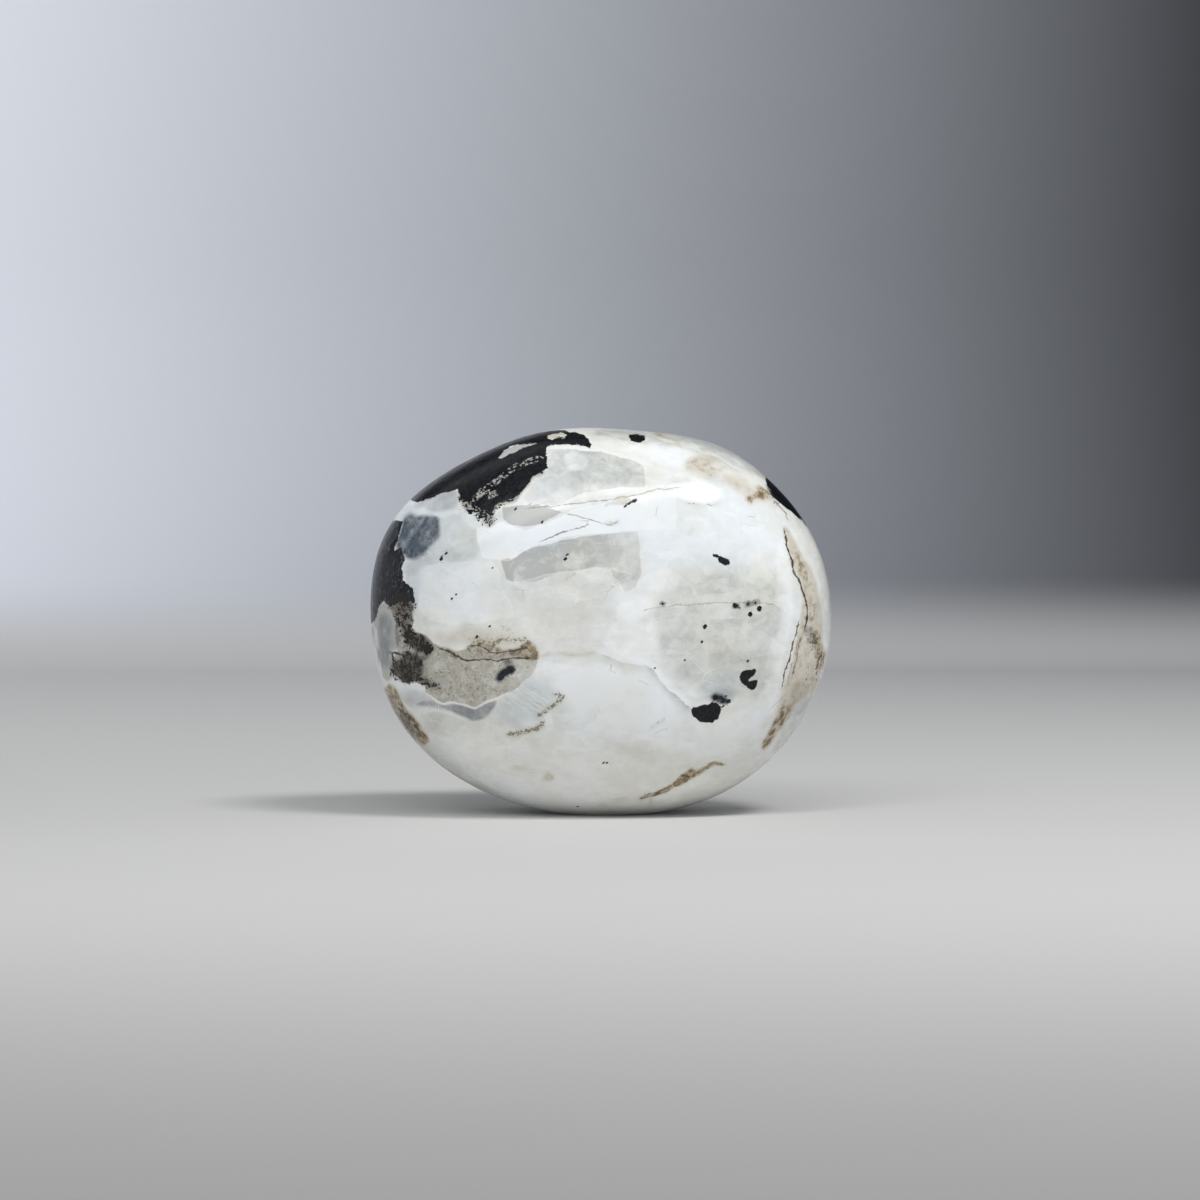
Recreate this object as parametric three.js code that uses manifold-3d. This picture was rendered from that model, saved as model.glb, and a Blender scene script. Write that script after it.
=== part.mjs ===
// A moonstone palm stone: one pebble of white feldspar with black tourmaline grown in it, ground by hand
// to a thick oval and polished all over. It stands on its long edge, on a small flat worn there.
//
// Millimetres, +Z up. The broad faces look along -Y and +Y, the long axis runs along X, and the origin
// is on the surface that the stone stands on, under its middle.

import * as THREE from "three";
import { mergeVertices } from "three/addons/utils/BufferGeometryUtils.js";
import Module from "manifold-3d";

// The oval as it is seen square on, and how thick it is from face to face
const LENGTH = 55.0;
const HEIGHT = 46.6;
const THICKNESS = 32.0;

// 2 is a true ellipse, and more is squarer: the oval's corners, and the section from rim to face
const OVAL_FULLNESS = 2.14;
const SECTION_FULLNESS = 2.3;

// Where the grinding left the oval proud (+) or hollow (-): the direction from the middle, counted from
// +X towards +Z, how wide the swell is, and its height
const RIM_SWELLS = [
  { towards: 157, width: 17, height: 0.72 },
  { towards: 127, width: 15, height: -0.32 },
  { towards: 55, width: 13, height: 0.46 },
  { towards: 80, width: 14, height: -0.3 },
  { towards: 300, width: 18, height: 0.18 },
  { towards: 338, width: 16, height: -0.34 },
  { towards: 192, width: 12, height: -0.12 },
  { towards: 235, width: 24, height: -0.2 },
];

// Broad, shallow facets that the wheel left: a direction on the stone, how far round it reaches, and
// how deep it is in the middle
const GROUND_FACETS = [
  { towards: [0.35, -1.0, 0.75], reach: 30, depth: 0.3 },
  { towards: [-0.75, -0.9, 0.15], reach: 28, depth: 0.35 },
  { towards: [0.6, -1.0, -0.55], reach: 32, depth: 0.3 },
  { towards: [-0.1, 1.0, 0.35], reach: 34, depth: 0.4 },
  { towards: [0.9, 0.9, -0.2], reach: 30, depth: 0.35 },
  { towards: [-0.8, 0.8, 0.7], reach: 26, depth: 0.3 },
];

// The flat that it stands on is cut this far above the lowest point of the oval
const FOOT_DEPTH = 0.4;

// A shell-shaped chip on the rim, low on the left: a ball takes a scallop out of the edge
const CHIP = { towards: 213.5, depth: 0.42, ballRadius: 5.0, leansBack: 1.2 };

// The ball that is pressed into the stone's shape has 20 * (ROUNDNESS + 1)^2 faces
const ROUNDNESS = 20;

const STONE_WHITE = 0xe6e8e4;

const radians = THREE.MathUtils.degToRad;

// A bell curve: 1 at no angle from its middle, and small past its width. The angle wraps round.
function bell(angle, width) {
  const off = Math.atan2(Math.sin(angle), Math.cos(angle));
  return Math.exp(-((off / radians(width)) ** 2));
}

// Distance from the middle to the oval's rim in a direction in the XZ plane: a superellipse and its swells
function rimRadius(direction) {
  const across = Math.abs(Math.cos(direction)) / (LENGTH / 2);
  const up = Math.abs(Math.sin(direction)) / (HEIGHT / 2);
  const oval = (across ** OVAL_FULLNESS + up ** OVAL_FULLNESS) ** (-1 / OVAL_FULLNESS);
  return RIM_SWELLS.reduce(
    (radius, swell) => radius + swell.height * bell(direction - radians(swell.towards), swell.width),
    oval,
  );
}

// Distance from the middle to the polished surface along a unit direction: from rim to face the section
// is a superellipse too, less what the ground facets take off
function surfaceRadius(direction) {
  const rim = rimRadius(Math.atan2(direction.z, direction.x));
  const outward = Math.hypot(direction.x, direction.z) / rim;
  const sideways = Math.abs(direction.y) / (THICKNESS / 2);
  const full = (outward ** SECTION_FULLNESS + sideways ** SECTION_FULLNESS) ** (-1 / SECTION_FULLNESS);
  return GROUND_FACETS.reduce((radius, facet) => {
    const away = direction.angleTo(new THREE.Vector3(...facet.towards));
    return radius - facet.depth * bell(away, facet.reach);
  }, full);
}

// The whole pebble about its own middle, as a ball of even triangles pressed out to the surface
function pebbleGeometry() {
  const ball = new THREE.IcosahedronGeometry(1, ROUNDNESS);
  ball.deleteAttribute("normal");
  ball.deleteAttribute("uv");
  const geometry = mergeVertices(ball);
  const position = geometry.getAttribute("position");
  const point = new THREE.Vector3();
  for (let i = 0; i < position.count; i++) {
    point.fromBufferAttribute(position, i).normalize();
    point.multiplyScalar(surfaceRadius(point));
    position.setXYZ(i, point.x, point.y, point.z);
  }
  return geometry;
}

const wasm = await Module();
wasm.setup();

// A closed geometry as a solid that can be cut
function solidOf(geometry) {
  return new wasm.Manifold(
    new wasm.Mesh({
      numProp: 3,
      vertProperties: new Float32Array(geometry.getAttribute("position").array),
      triVerts: new Uint32Array(geometry.index.array),
    }),
  );
}

// Any three.js geometry as a solid: only its positions count, and shared corners are merged
function cutterOf(geometry) {
  geometry.deleteAttribute("normal");
  geometry.deleteAttribute("uv");
  return solidOf(mergeVertices(geometry));
}

// A cut solid as a geometry again, with a flat normal on each face
function geometryOf(solid) {
  const mesh = solid.getMesh();
  const geometry = new THREE.BufferGeometry();
  geometry.setAttribute("position", new THREE.BufferAttribute(mesh.vertProperties, 3));
  geometry.setIndex(new THREE.BufferAttribute(mesh.triVerts, 1));
  const faceted = geometry.toNonIndexed();
  faceted.computeVertexNormals();
  return faceted;
}

// The ball that takes the chip out of the rim. It stands off the rim so that it bites to the chip's depth
function chipCutter() {
  const towards = radians(CHIP.towards);
  const reach = rimRadius(towards) - CHIP.depth + CHIP.ballRadius;
  const ball = new THREE.SphereGeometry(CHIP.ballRadius, 32, 20);
  ball.translate(reach * Math.cos(towards), CHIP.leansBack, reach * Math.sin(towards));
  return cutterOf(ball);
}

// The block below the foot: everything in it is ground away, which leaves the flat
function footCutter() {
  const block = new THREE.BoxGeometry(LENGTH, THICKNESS, HEIGHT);
  block.translate(0, 0, FOOT_DEPTH - HEIGHT);
  return cutterOf(block);
}

const pebble = solidOf(pebbleGeometry());
const ground = pebble.subtract(chipCutter()).subtract(footCutter());

const stone = new THREE.Mesh(
  geometryOf(ground),
  new THREE.MeshStandardMaterial({ color: STONE_WHITE, roughness: 0.12, metalness: 0.0 }),
);
stone.name = "palm_stone";

// It stands on its foot, and the middle of its box is over the origin
const reach = new THREE.Box3().setFromObject(stone);
const middle = reach.getCenter(new THREE.Vector3());
stone.position.set(-middle.x, -middle.y, -reach.min.z);

const palmStone = new THREE.Group();
palmStone.name = "moonstone_palm_stone";
palmStone.add(stone);

export default palmStone;
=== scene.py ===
# A moonstone palm stone: one pebble of milky feldspar with black tourmaline in it, ground by hand to a
# thick oval and polished. It stands on its long edge on a pale floor, in soft light from above.

import math

import bpy
import numpy as np
from mathutils import Matrix, Vector


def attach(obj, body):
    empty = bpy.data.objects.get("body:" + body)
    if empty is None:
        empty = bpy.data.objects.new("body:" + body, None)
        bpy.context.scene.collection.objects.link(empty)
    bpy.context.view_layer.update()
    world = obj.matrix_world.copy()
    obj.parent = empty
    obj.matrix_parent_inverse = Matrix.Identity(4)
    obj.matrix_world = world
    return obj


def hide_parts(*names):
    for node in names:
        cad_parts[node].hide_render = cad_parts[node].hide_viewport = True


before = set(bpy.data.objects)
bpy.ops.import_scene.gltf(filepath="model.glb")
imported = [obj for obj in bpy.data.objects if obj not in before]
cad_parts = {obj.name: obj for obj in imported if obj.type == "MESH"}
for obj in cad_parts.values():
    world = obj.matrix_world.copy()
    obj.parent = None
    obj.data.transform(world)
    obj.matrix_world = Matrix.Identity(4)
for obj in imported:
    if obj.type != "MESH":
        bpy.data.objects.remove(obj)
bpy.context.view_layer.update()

scene = bpy.context.scene


# The pebble's form. The real stone was ground on a wheel and tumbled until it was smooth: an oval with
# shallow swells, broad flats that hardly show, a chip on its lower left rim and a small flat to stand on.
# It is worked out in millimetres about its own middle: X is its length, Y its thickness, Z its height.
MM = 0.001
LENGTH, THICKNESS, HEIGHT = 55.0, 32.0, 46.6
OVAL_FULLNESS = 2.14
SECTION_FULLNESS = 2.3
# Degrees from +X towards +Z, width in degrees, height in mm
RIM_SWELLS = [(157, 17, 0.72), (127, 15, -0.32), (55, 13, 0.46), (80, 14, -0.3),
              (300, 18, 0.18), (338, 16, -0.34), (192, 12, -0.12), (235, 24, -0.2)]
# Direction, reach in degrees, depth in mm
GROUND_FACETS = [((0.35, -1.0, 0.75), 30, 0.3), ((-0.75, -0.9, 0.15), 28, 0.35),
                 ((0.6, -1.0, -0.55), 32, 0.3), ((-0.1, 1.0, 0.35), 34, 0.4),
                 ((0.9, 0.9, -0.2), 30, 0.35), ((-0.8, 0.8, 0.7), 26, 0.3)]
FOOT_DEPTH = 0.4
CHIP_TOWARDS, CHIP_DEPTH, CHIP_BALL, CHIP_BACK = 213.5, 0.42, 5.0, 1.2
# Grid cells along X, Y and Z: about 0.25 mm each, and 195,000 triangles in all
CELLS = (158, 94, 134)


def bell(angle, width):
    """A bell curve of an angle that wraps round: 1 in the middle, 1/e at its width in degrees."""
    off = np.arctan2(np.sin(angle), np.cos(angle))
    return np.exp(-(off / math.radians(width)) ** 2)


def rim_radius(angle):
    """The oval square on: a superellipse of the length and height, plus a bell for each swell."""
    across = np.abs(np.cos(angle)) / (LENGTH / 2)
    up = np.abs(np.sin(angle)) / (HEIGHT / 2)
    radius = (across ** OVAL_FULLNESS + up ** OVAL_FULLNESS) ** (-1 / OVAL_FULLNESS)
    for towards, width, height in RIM_SWELLS:
        radius = radius + height * bell(angle - math.radians(towards), width)
    return radius


def surface_radius(way):
    """From the middle to the surface along unit directions: a superellipse from the rim to the middle of
    each face, less a bell for each ground facet, and cut by the ball that the chip was knocked out with."""
    rim = rim_radius(np.arctan2(way[:, 2], way[:, 0]))
    outward = np.hypot(way[:, 0], way[:, 2]) / rim
    sideways = np.abs(way[:, 1]) / (THICKNESS / 2)
    radius = (outward ** SECTION_FULLNESS + sideways ** SECTION_FULLNESS) ** (-1 / SECTION_FULLNESS)
    for towards, reach, depth in GROUND_FACETS:
        facet = np.array(towards) / np.linalg.norm(towards)
        radius = radius - depth * bell(np.arccos(np.clip(way @ facet, -1, 1)), reach)
    angle = math.radians(CHIP_TOWARDS)
    stand = rim_radius(np.array(angle)) - CHIP_DEPTH + CHIP_BALL
    ball = np.array([stand * math.cos(angle), CHIP_BACK, stand * math.sin(angle)])
    along = way @ ball
    half_chord = along ** 2 - ball @ ball + CHIP_BALL ** 2
    bitten = along - np.sqrt(np.maximum(half_chord, 0))
    return np.where((half_chord > 0) & (along > 0), np.minimum(radius, bitten), radius)


def pebble_grids(cells):
    """The six sides of a box as grids of (i, j), joined at their edges. Box points are spaced by the
    tangent, so that they are even in angle, and scaled to length one: that gives points on a ball."""
    number = np.full([n + 1 for n in cells], -1)
    place = np.indices(number.shape)
    last = np.array(cells).reshape(3, 1, 1, 1)
    shell = ((place == 0) | (place == last)).any(0)
    number[shell] = np.arange(shell.sum())
    box = np.tan((place[:, shell].T / np.array(cells) * 2 - 1) * math.pi / 4)
    quads = []
    for axis in range(3):
        for end in (0, -1):
            side = np.take(number, end, axis=axis)
            quad = np.stack([side[:-1, :-1], side[1:, :-1], side[1:, 1:], side[:-1, 1:]], -1).reshape(-1, 4)
            quads.append(quad[:, ::-1] if (end == 0) != (axis == 1) else quad)
    return box / np.linalg.norm(box, axis=1, keepdims=True), np.concatenate(quads)


def drift(points, size, seed):
    """Smooth noise from -1 to 1: a random number at each corner of a lattice of cells of that size in mm,
    blended from corner to corner by 3t^2 - 2t^3."""
    table = np.random.default_rng(seed).uniform(-1, 1, (32, 32, 32))
    place = points / size
    low = np.floor(place).astype(int)
    part = place - low
    part = part * part * (3 - 2 * part)
    total = np.zeros(len(points))
    for corner in np.ndindex(2, 2, 2):
        weight = np.prod(np.where(corner, part, 1 - part), axis=1)
        index = (low + corner) % 32
        total += weight * table[index[:, 0], index[:, 1], index[:, 2]]
    return total


ball_points, faces = pebble_grids(CELLS)
ways = ball_points * (LENGTH, THICKNESS, HEIGHT)
ways /= np.linalg.norm(ways, axis=1, keepdims=True)
points = ways * surface_radius(ways)[:, None]
foot_level = FOOT_DEPTH - HEIGHT / 2
on_foot = points[:, 2] <= foot_level
points[:, 2] = np.maximum(points[:, 2], foot_level)
# As in the solid, the stone stands on its foot with the middle of its box over the origin
low, high = points.min(0), points.max(0)
points -= ((low[0] + high[0]) / 2, (low[1] + high[1]) / 2, low[2])


# What grew in the rock. Each marking has an outline drawn in millimetres on the upright plane through the
# stone's middle: across from the middle, and up from the floor. A marking runs through the rock from its
# outline towards the viewer, and those on the rim go on round it to the back.
EYE = (-0.09, -380.0, 31.44)
nearer = -EYE[1] / (-EYE[1] - np.abs(points[:, 1]))
# A gentle drift of the outlines, because no edge in a rock is a straight line, and a stronger one round
# the rim and at the back, where the outlines are drawn more coarsely
depth = points[:, 1]
coarse = np.clip((depth + 4) / 7, 0, 1)
across = EYE[0] + (points[:, 0] - EYE[0]) * nearer + (0.12 + 0.4 * coarse) * drift(points, 1.1, 1)
up = EYE[2] + (points[:, 2] - EYE[2]) * nearer + (0.12 + 0.4 * coarse) * drift(points, 1.1, 2)
across += coarse * 1.5 * drift(points, 3.3, 10)
up += coarse * 1.5 * drift(points, 3.3, 11)
ragged_end = 2.4 * drift(points, 6.5, 3) + 1.2 * drift(points, 2.6, 14) + 0.6 * drift(points, 1.2, 12)
ragged_patch = drift(points, 2.6, 8) + 0.5 * drift(points, 1.2, 9)


def rounded(outline):
    """The outline with each corner cut off twice, at a quarter and three quarters of every edge."""
    line = np.array(outline)
    for _ in range(2):
        after = np.roll(line, -1, axis=0)
        line = np.stack([line * 0.75 + after * 0.25, line * 0.25 + after * 0.75], 1).reshape(-1, 2)
    return line


def within(outline, past_rim=0.0, back=False):
    """Distance in mm to the outline's nearest edge, above 0 inside it, for every point. It is limited to
    the front or the back half of the stone, and past_rim is how far over the rim it goes on."""
    start = np.array(outline, float)
    edge = np.roll(start, -1, axis=0) - start
    result = np.full(len(points), -3.0)
    near = (across > start[:, 0].min() - 3) & (across < start[:, 0].max() + 3)
    near &= (up > start[:, 1].min() - 3) & (up < start[:, 1].max() + 3)
    near &= (depth > -past_rim - 3) if back else (depth < past_rim + 3)
    u, w = across[near, None], up[near, None]
    from_u, from_w = u - start[:, 0], w - start[:, 1]
    share = np.clip((from_u * edge[:, 0] + from_w * edge[:, 1]) / (edge ** 2).sum(1), 0, 1)
    gap = np.hypot(from_u - share * edge[:, 0], from_w - share * edge[:, 1]).min(1)
    rises = (start[:, 1] > w) != (start[:, 1] + edge[:, 1] > w)
    slope = edge[:, 0] / np.where(edge[:, 1] == 0, 1e-9, edge[:, 1])
    inside = (rises & (from_u < from_w * slope)).sum(1) % 2 == 1
    result[near] = np.where(inside, gap, -gap)
    limit = past_rim + (depth if back else -depth) + ragged_end
    return np.clip(np.minimum(result, limit), -3, 3)


def patches(front, back=(), past_rim=0.0):
    """The distance into whichever of several outlines a point is deepest in."""
    return np.maximum.reduce([within(o, past_rim) for o in front] + [within(o, past_rim, True) for o in back])


def eased(distance, softness):
    """0 outside, 1 inside, and a smooth step as wide as the softness across the edge."""
    part = np.clip(distance / softness + 0.5, 0, 1)
    return part * part * (3 - 2 * part)


def amounts(front, back=(), past_rim=0.0, widen=0.0):
    """The strongest of several soft patches. Each is an outline, an amount and the softness of its edge."""
    total = np.zeros(len(points))
    for is_back, group in ((False, front), (True, back)):
        for outline, amount, softness in group:
            distance = within(rounded(outline), past_rim, is_back) + widen + 0.6 * softness * ragged_patch
            total = np.maximum(total, amount * eased(distance, softness))
    return total


def beside(route, half_width, back=False):
    """For a line across the face: on which side of it each point is and how far, in mm, and a mask that is
    1 along the line and falls to 0 at its ends and past half_width from it."""
    line = np.array(route, float)
    start, edge = line[:-1], line[1:] - line[:-1]
    length = np.hypot(edge[:, 0], edge[:, 1])
    from_u, from_w = across[:, None] - start[:, 0], up[:, None] - start[:, 1]
    share = np.clip((from_u * edge[:, 0] + from_w * edge[:, 1]) / length ** 2, 0, 1)
    gap = np.hypot(from_u - share * edge[:, 0], from_w - share * edge[:, 1])
    nearest = gap.argmin(1)
    row = np.arange(len(points))
    side = (from_u * edge[:, 1] - from_w * edge[:, 0])[row, nearest]
    gone = np.concatenate([[0], np.cumsum(length)[:-1]])[nearest] + share[row, nearest] * length[nearest]
    total = length.sum()
    ends = np.clip(np.minimum(gone, total - gone) / min(1.0, total / 4), 0, 1)
    least = gap[row, nearest]
    mask = ends * np.clip(1.5 - least / half_width, 0, 1) * ((depth > 0) if back else (depth < 0))
    return np.sign(side) * least, mask


def line_field(front, back=(), half_width=0.6):
    """The signed distance and the mask of whichever line is strongest. Each is a route and a strength."""
    side = np.full(len(points), 3.0)
    mask = np.zeros(len(points))
    for is_back, group in ((False, front), (True, back)):
        for route, strength in group:
            new_side, new_mask = beside(route, half_width, is_back)
            closer = new_mask * strength > mask
            side = np.where(closer, new_side, side)
            mask = np.maximum(mask, new_mask * strength)
    return side, mask


# Black tourmaline (schorl): a cap over the upper left rim, a band down the left one, a patch over the
# upper right, and loose crystals, which the wheel has cut flush with the feldspar.
CAP = [(-24.0, 38.0), (-21.0, 41.6), (-16.6, 44.4), (-11.5, 46.9), (-8.6, 46.8), (-7.1, 45.5), (-6.1, 45.7),
       (-4.6, 45.9), (-3.6, 45.5), (-3.2, 45.6), (-2.0, 45.3), (-1.5, 44.7), (-1.1, 44.2), (-1.3, 43.7),
       (-2.6, 43.9), (-4.4, 44.1), (-6.5, 43.8), (-6.4, 42.2), (-6.5, 41.1), (-7.7, 40.5), (-8.6, 39.4),
       (-9.8, 38.0), (-11.4, 37.3), (-12.7, 36.9), (-13.1, 35.6), (-14.2, 36.3), (-15.3, 36.9),
       (-16.7, 37.6), (-17.1, 38.7), (-18.9, 38.2), (-21.9, 37.1), (-22.6, 37.4)]
CAP_WINDOWS = [
    [(-6.4, 45.1), (-5.8, 45.3), (-5.3, 45.2), (-4.7, 45.5), (-4.1, 45.1), (-4.4, 44.8), (-5.2, 44.9),
     (-5.7, 44.6), (-6.3, 44.7)],
    [(-12.2, 42.5), (-11.6, 43.2), (-10.7, 43.8), (-8.8, 44.1), (-7.6, 44.3), (-8.7, 43.8), (-9.8, 43.4),
     (-10.9, 42.9), (-11.8, 42.4)],
    [(-13.7, 38.2), (-13.3, 38.7), (-12.6, 38.7), (-12.3, 38.1), (-13.1, 37.6), (-13.6, 37.7)],
]
CAP_SEAM = [(-6.4, 42.6), (-8.7, 42.0), (-10.5, 41.1), (-12.3, 39.8), (-13.6, 38.8), (-14.9, 37.8),
            (-15.6, 37.0)]
LEFT_BAND = [(-24.5, 35.1), (-23.7, 34.8), (-23.9, 34.0), (-24.7, 31.4), (-24.0, 31.8), (-23.3, 30.4),
             (-23.8, 29.4), (-23.6, 27.8), (-22.5, 26.9), (-22.2, 25.0), (-23.5, 25.6), (-24.6, 25.2),
             (-25.1, 24.5), (-26.0, 25.4), (-26.6, 24.5), (-27.1, 22.9), (-28.3, 22.9), (-28.6, 27.3),
             (-27.4, 31.2), (-25.7, 34.4)]
TOP_RIGHT = [(19.7, 40.3), (19.9, 38.9), (20.8, 37.6), (21.8, 36.7), (22.9, 36.0), (24.4, 34.5),
             (26.0, 34.4), (24.8, 38.0), (22.0, 40.8)]
CRYSTALS = [
    [(10.8, 12.2), (11.0, 12.6), (11.7, 12.8), (12.3, 12.9), (13.0, 12.9), (13.3, 13.2), (14.0, 13.1),
     (14.4, 12.6), (14.4, 12.0), (14.0, 11.2), (13.3, 10.7), (12.5, 10.7), (11.8, 10.9), (11.1, 11.5)],
    [(16.5, 16.2), (16.7, 16.7), (17.3, 17.1), (18.4, 17.2), (18.5, 17.0), (18.4, 16.6), (18.2, 16.2),
     (17.7, 15.9), (17.5, 15.8), (17.8, 15.7), (18.9, 15.9), (18.7, 15.3), (18.1, 14.6), (17.3, 15.2),
     (16.8, 15.6)],
    [(13.3, 31.0), (13.9, 30.9), (14.5, 30.6), (15.4, 30.2), (15.4, 29.7), (14.9, 29.5), (14.2, 29.9),
     (13.9, 30.4), (13.4, 30.7)],
    [(3.4, 45.2), (4.1, 45.3), (5.4, 45.0), (5.2, 44.5), (4.5, 44.2), (3.6, 44.5)],
    [(2.7, 36.3), (2.8, 36.7), (4.2, 37.6), (4.5, 37.4)],
    [(-21.3, 20.0), (-20.6, 20.1), (-20.0, 19.7), (-20.3, 19.1), (-21.0, 18.9)],
]
BACK_TOURMALINE = [
    [(-17.5, 14.0), (-16.0, 18.5), (-12.5, 20.5), (-9.0, 19.0), (-7.0, 21.5), (-5.2, 19.5), (-6.5, 15.5),
     (-9.0, 13.5), (-8.5, 10.5), (-12.0, 9.0), (-15.5, 10.5)],
    [(9.0, 33.0), (13.5, 36.5), (17.0, 37.0), (14.0, 34.0), (11.0, 32.0)],
    [(2.0, 27.0), (3.2, 27.6), (3.9, 26.8), (2.9, 26.2)],
    [(6.8, 14.1), (7.6, 15.0), (8.8, 14.6), (8.2, 13.5)],
    [(-2.4, 38.3), (-1.2, 38.8), (-0.5, 38.1), (-1.6, 37.7)],
    [(-20.5, 25.5), (-19.4, 26.6), (-18.2, 25.9), (-19.0, 24.7)],
    [(17.0, 15.5), (18.2, 16.6), (19.5, 15.9), (18.6, 14.2)],
    [(5.5, 35.8), (6.3, 36.2), (7.4, 35.1), (6.6, 34.6)],
]
# Tiny crystals, too small for an outline: across, up and radius in mm
TINY_CRYSTALS = [(13.7, 13.7, 0.36), (15.2, 13.4, 0.3), (14.6, 12.7, 0.16), (14.9, 14.0, 0.15),
                 (18.0, 23.9, 0.3), (18.9, 24.4, 0.34), (16.2, 24.8, 0.3), (17.6, 24.8, 0.2),
                 (16.6, 24.5, 0.15), (18.6, 25.1, 0.16), (7.4, 25.0, 0.22), (12.5, 22.4, 0.28),
                 (12.2, 20.4, 0.16), (10.2, 18.2, 0.13), (17.7, 18.1, 0.16), (-4.3, 30.4, 0.24),
                 (-4.1, 31.0, 0.12), (-19.1, 30.6, 0.28), (-18.5, 31.0, 0.2), (-17.3, 26.2, 0.13),
                 (-17.7, 25.6, 0.16), (-12.9, 29.4, 0.11), (-10.1, 36.4, 0.2), (-7.0, 34.7, 0.18),
                 (0.4, 6.0, 0.2), (0.8, 6.0, 0.12), (-2.8, 0.7, 0.17), (24.6, 16.1, 0.14),
                 (25.9, 16.3, 0.2), (25.8, 15.9, 0.16), (-24.1, 21.8, 0.17), (-13.4, 22.2, 0.14),
                 (-14.8, 21.1, 0.17), (6.3, 17.1, 0.12)]
BACK_TINY_CRYSTALS = [(4.5, 28.4, 0.2), (9.4, 13.6, 0.22), (-1.2, 25.1, 0.18), (12.1, 27.6, 0.28),
                      (12.7, 26.9, 0.16), (-14.5, 29.0, 0.25), (-11.0, 26.5, 0.15), (1.5, 9.0, 0.2),
                      (17.5, 22.0, 0.24), (-6.5, 36.5, 0.2)]
tourmaline = patches([CAP], past_rim=6.5)
for outline in CAP_WINDOWS:
    tourmaline = np.minimum(tourmaline, -within(outline))
seam_side, seam_here = beside(CAP_SEAM, 1.0)
tourmaline = np.minimum(tourmaline, np.where(seam_here > 0, np.abs(seam_side) - 0.34 * seam_here, 3.0))
tourmaline = np.maximum(tourmaline, patches([LEFT_BAND, TOP_RIGHT], past_rim=5.0))
tourmaline = np.maximum(tourmaline, patches(CRYSTALS, BACK_TOURMALINE, past_rim=-1.5))
for tiny_ones, on_side in ((TINY_CRYSTALS, depth < 0), (BACK_TINY_CRYSTALS, depth > 0)):
    for crystal_across, crystal_up, radius in tiny_ones:
        off = np.where(on_side, np.hypot(across - crystal_across, up - crystal_up), 99.0)
        away = np.linalg.norm(points - points[off.argmin()], axis=1)
        tourmaline = np.maximum(tourmaline, np.clip(radius - away, -3, 3))

# Where tourmaline and feldspar grew as mixed grains: salt and pepper under the cap and along its seam, a
# brown column below the band, and a dark spot in the beige patch. Outline, share of dark grains, softness
MIXED = [
    ([(-17.1, 38.4), (-16.7, 37.1), (-16.0, 36.0), (-14.9, 35.6),
      (-14.2, 35.1), (-13.1, 34.4), (-12.8, 36.0), (-12.3, 37.0), (-11.2, 37.1), (-9.8, 37.8), (-8.3, 39.7),
      (-6.5, 40.9), (-6.4, 43.0), (-8.3, 42.6), (-10.1, 41.9), (-12.0, 40.5), (-13.4, 39.3), (-14.9, 38.6),
      (-16.0, 38.4)], 0.62, 0.8),
    ([(-26.4, 25.5), (-25.1, 26.6), (-22.8, 25.8), (-22.4, 24.0),
      (-22.5, 22.3), (-23.1, 22.0), (-23.9, 22.7), (-24.4, 24.0), (-25.5, 24.7)], 0.45, 0.8),
    ([(-23.1, 22.0), (-22.4, 21.9), (-21.1, 21.2), (-20.0, 20.1),
      (-20.2, 19.2), (-20.9, 18.9), (-21.5, 19.6), (-22.8, 20.0), (-23.3, 21.1)], 0.6, 0.8),
    ([(-25.1, 19.4), (-24.6, 18.3), (-22.8, 19.1), (-21.3, 18.1),
      (-21.3, 16.7), (-21.7, 16.2), (-20.7, 15.7), (-19.2, 14.9),
      (-19.4, 14.7), (-21.8, 15.8), (-23.5, 15.8), (-24.9, 16.3), (-24.9, 17.8)], 0.5, 0.8),
    ([(-12.5, 16.6), (-11.9, 17.5), (-10.6, 17.8), (-10.1, 17.0), (-10.6, 15.8), (-11.8, 15.6)], 0.5, 1.7),
    ([(24.9, 21.4), (25.9, 21.2), (26.6, 20.3), (26.5, 18.0), (25.9, 16.1), (25.5, 18.0), (25.2, 19.9)],
     0.16, 1.0),
    ([(19.4, 39.5), (19.6, 38.6), (20.4, 37.7), (21.4, 37.1), (22.0, 37.4), (20.8, 39.0)], 0.5, 0.6),
]
BACK_MIXED = [([(-18.0, 13.0), (-15.0, 21.5), (-8.0, 21.0), (-4.5, 22.5), (-4.0, 16.0), (-7.5, 12.5),
                (-12.0, 7.5)], 0.3, 1.2)]
mixed = amounts(MIXED, BACK_MIXED, past_rim=-0.5)
mixed = np.maximum(mixed, 0.42 * seam_here)
# Over the rim and at the back, the edge of the tourmaline is here and there a fringe of mixed grains
fringe = np.exp(-(tourmaline / 0.6) ** 2) * np.clip(2 * drift(points, 3.5, 13) + 0.4, 0, 1)
mixed = np.maximum(mixed, 0.35 * fringe * np.clip(depth / 4, 0, 1))

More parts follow.
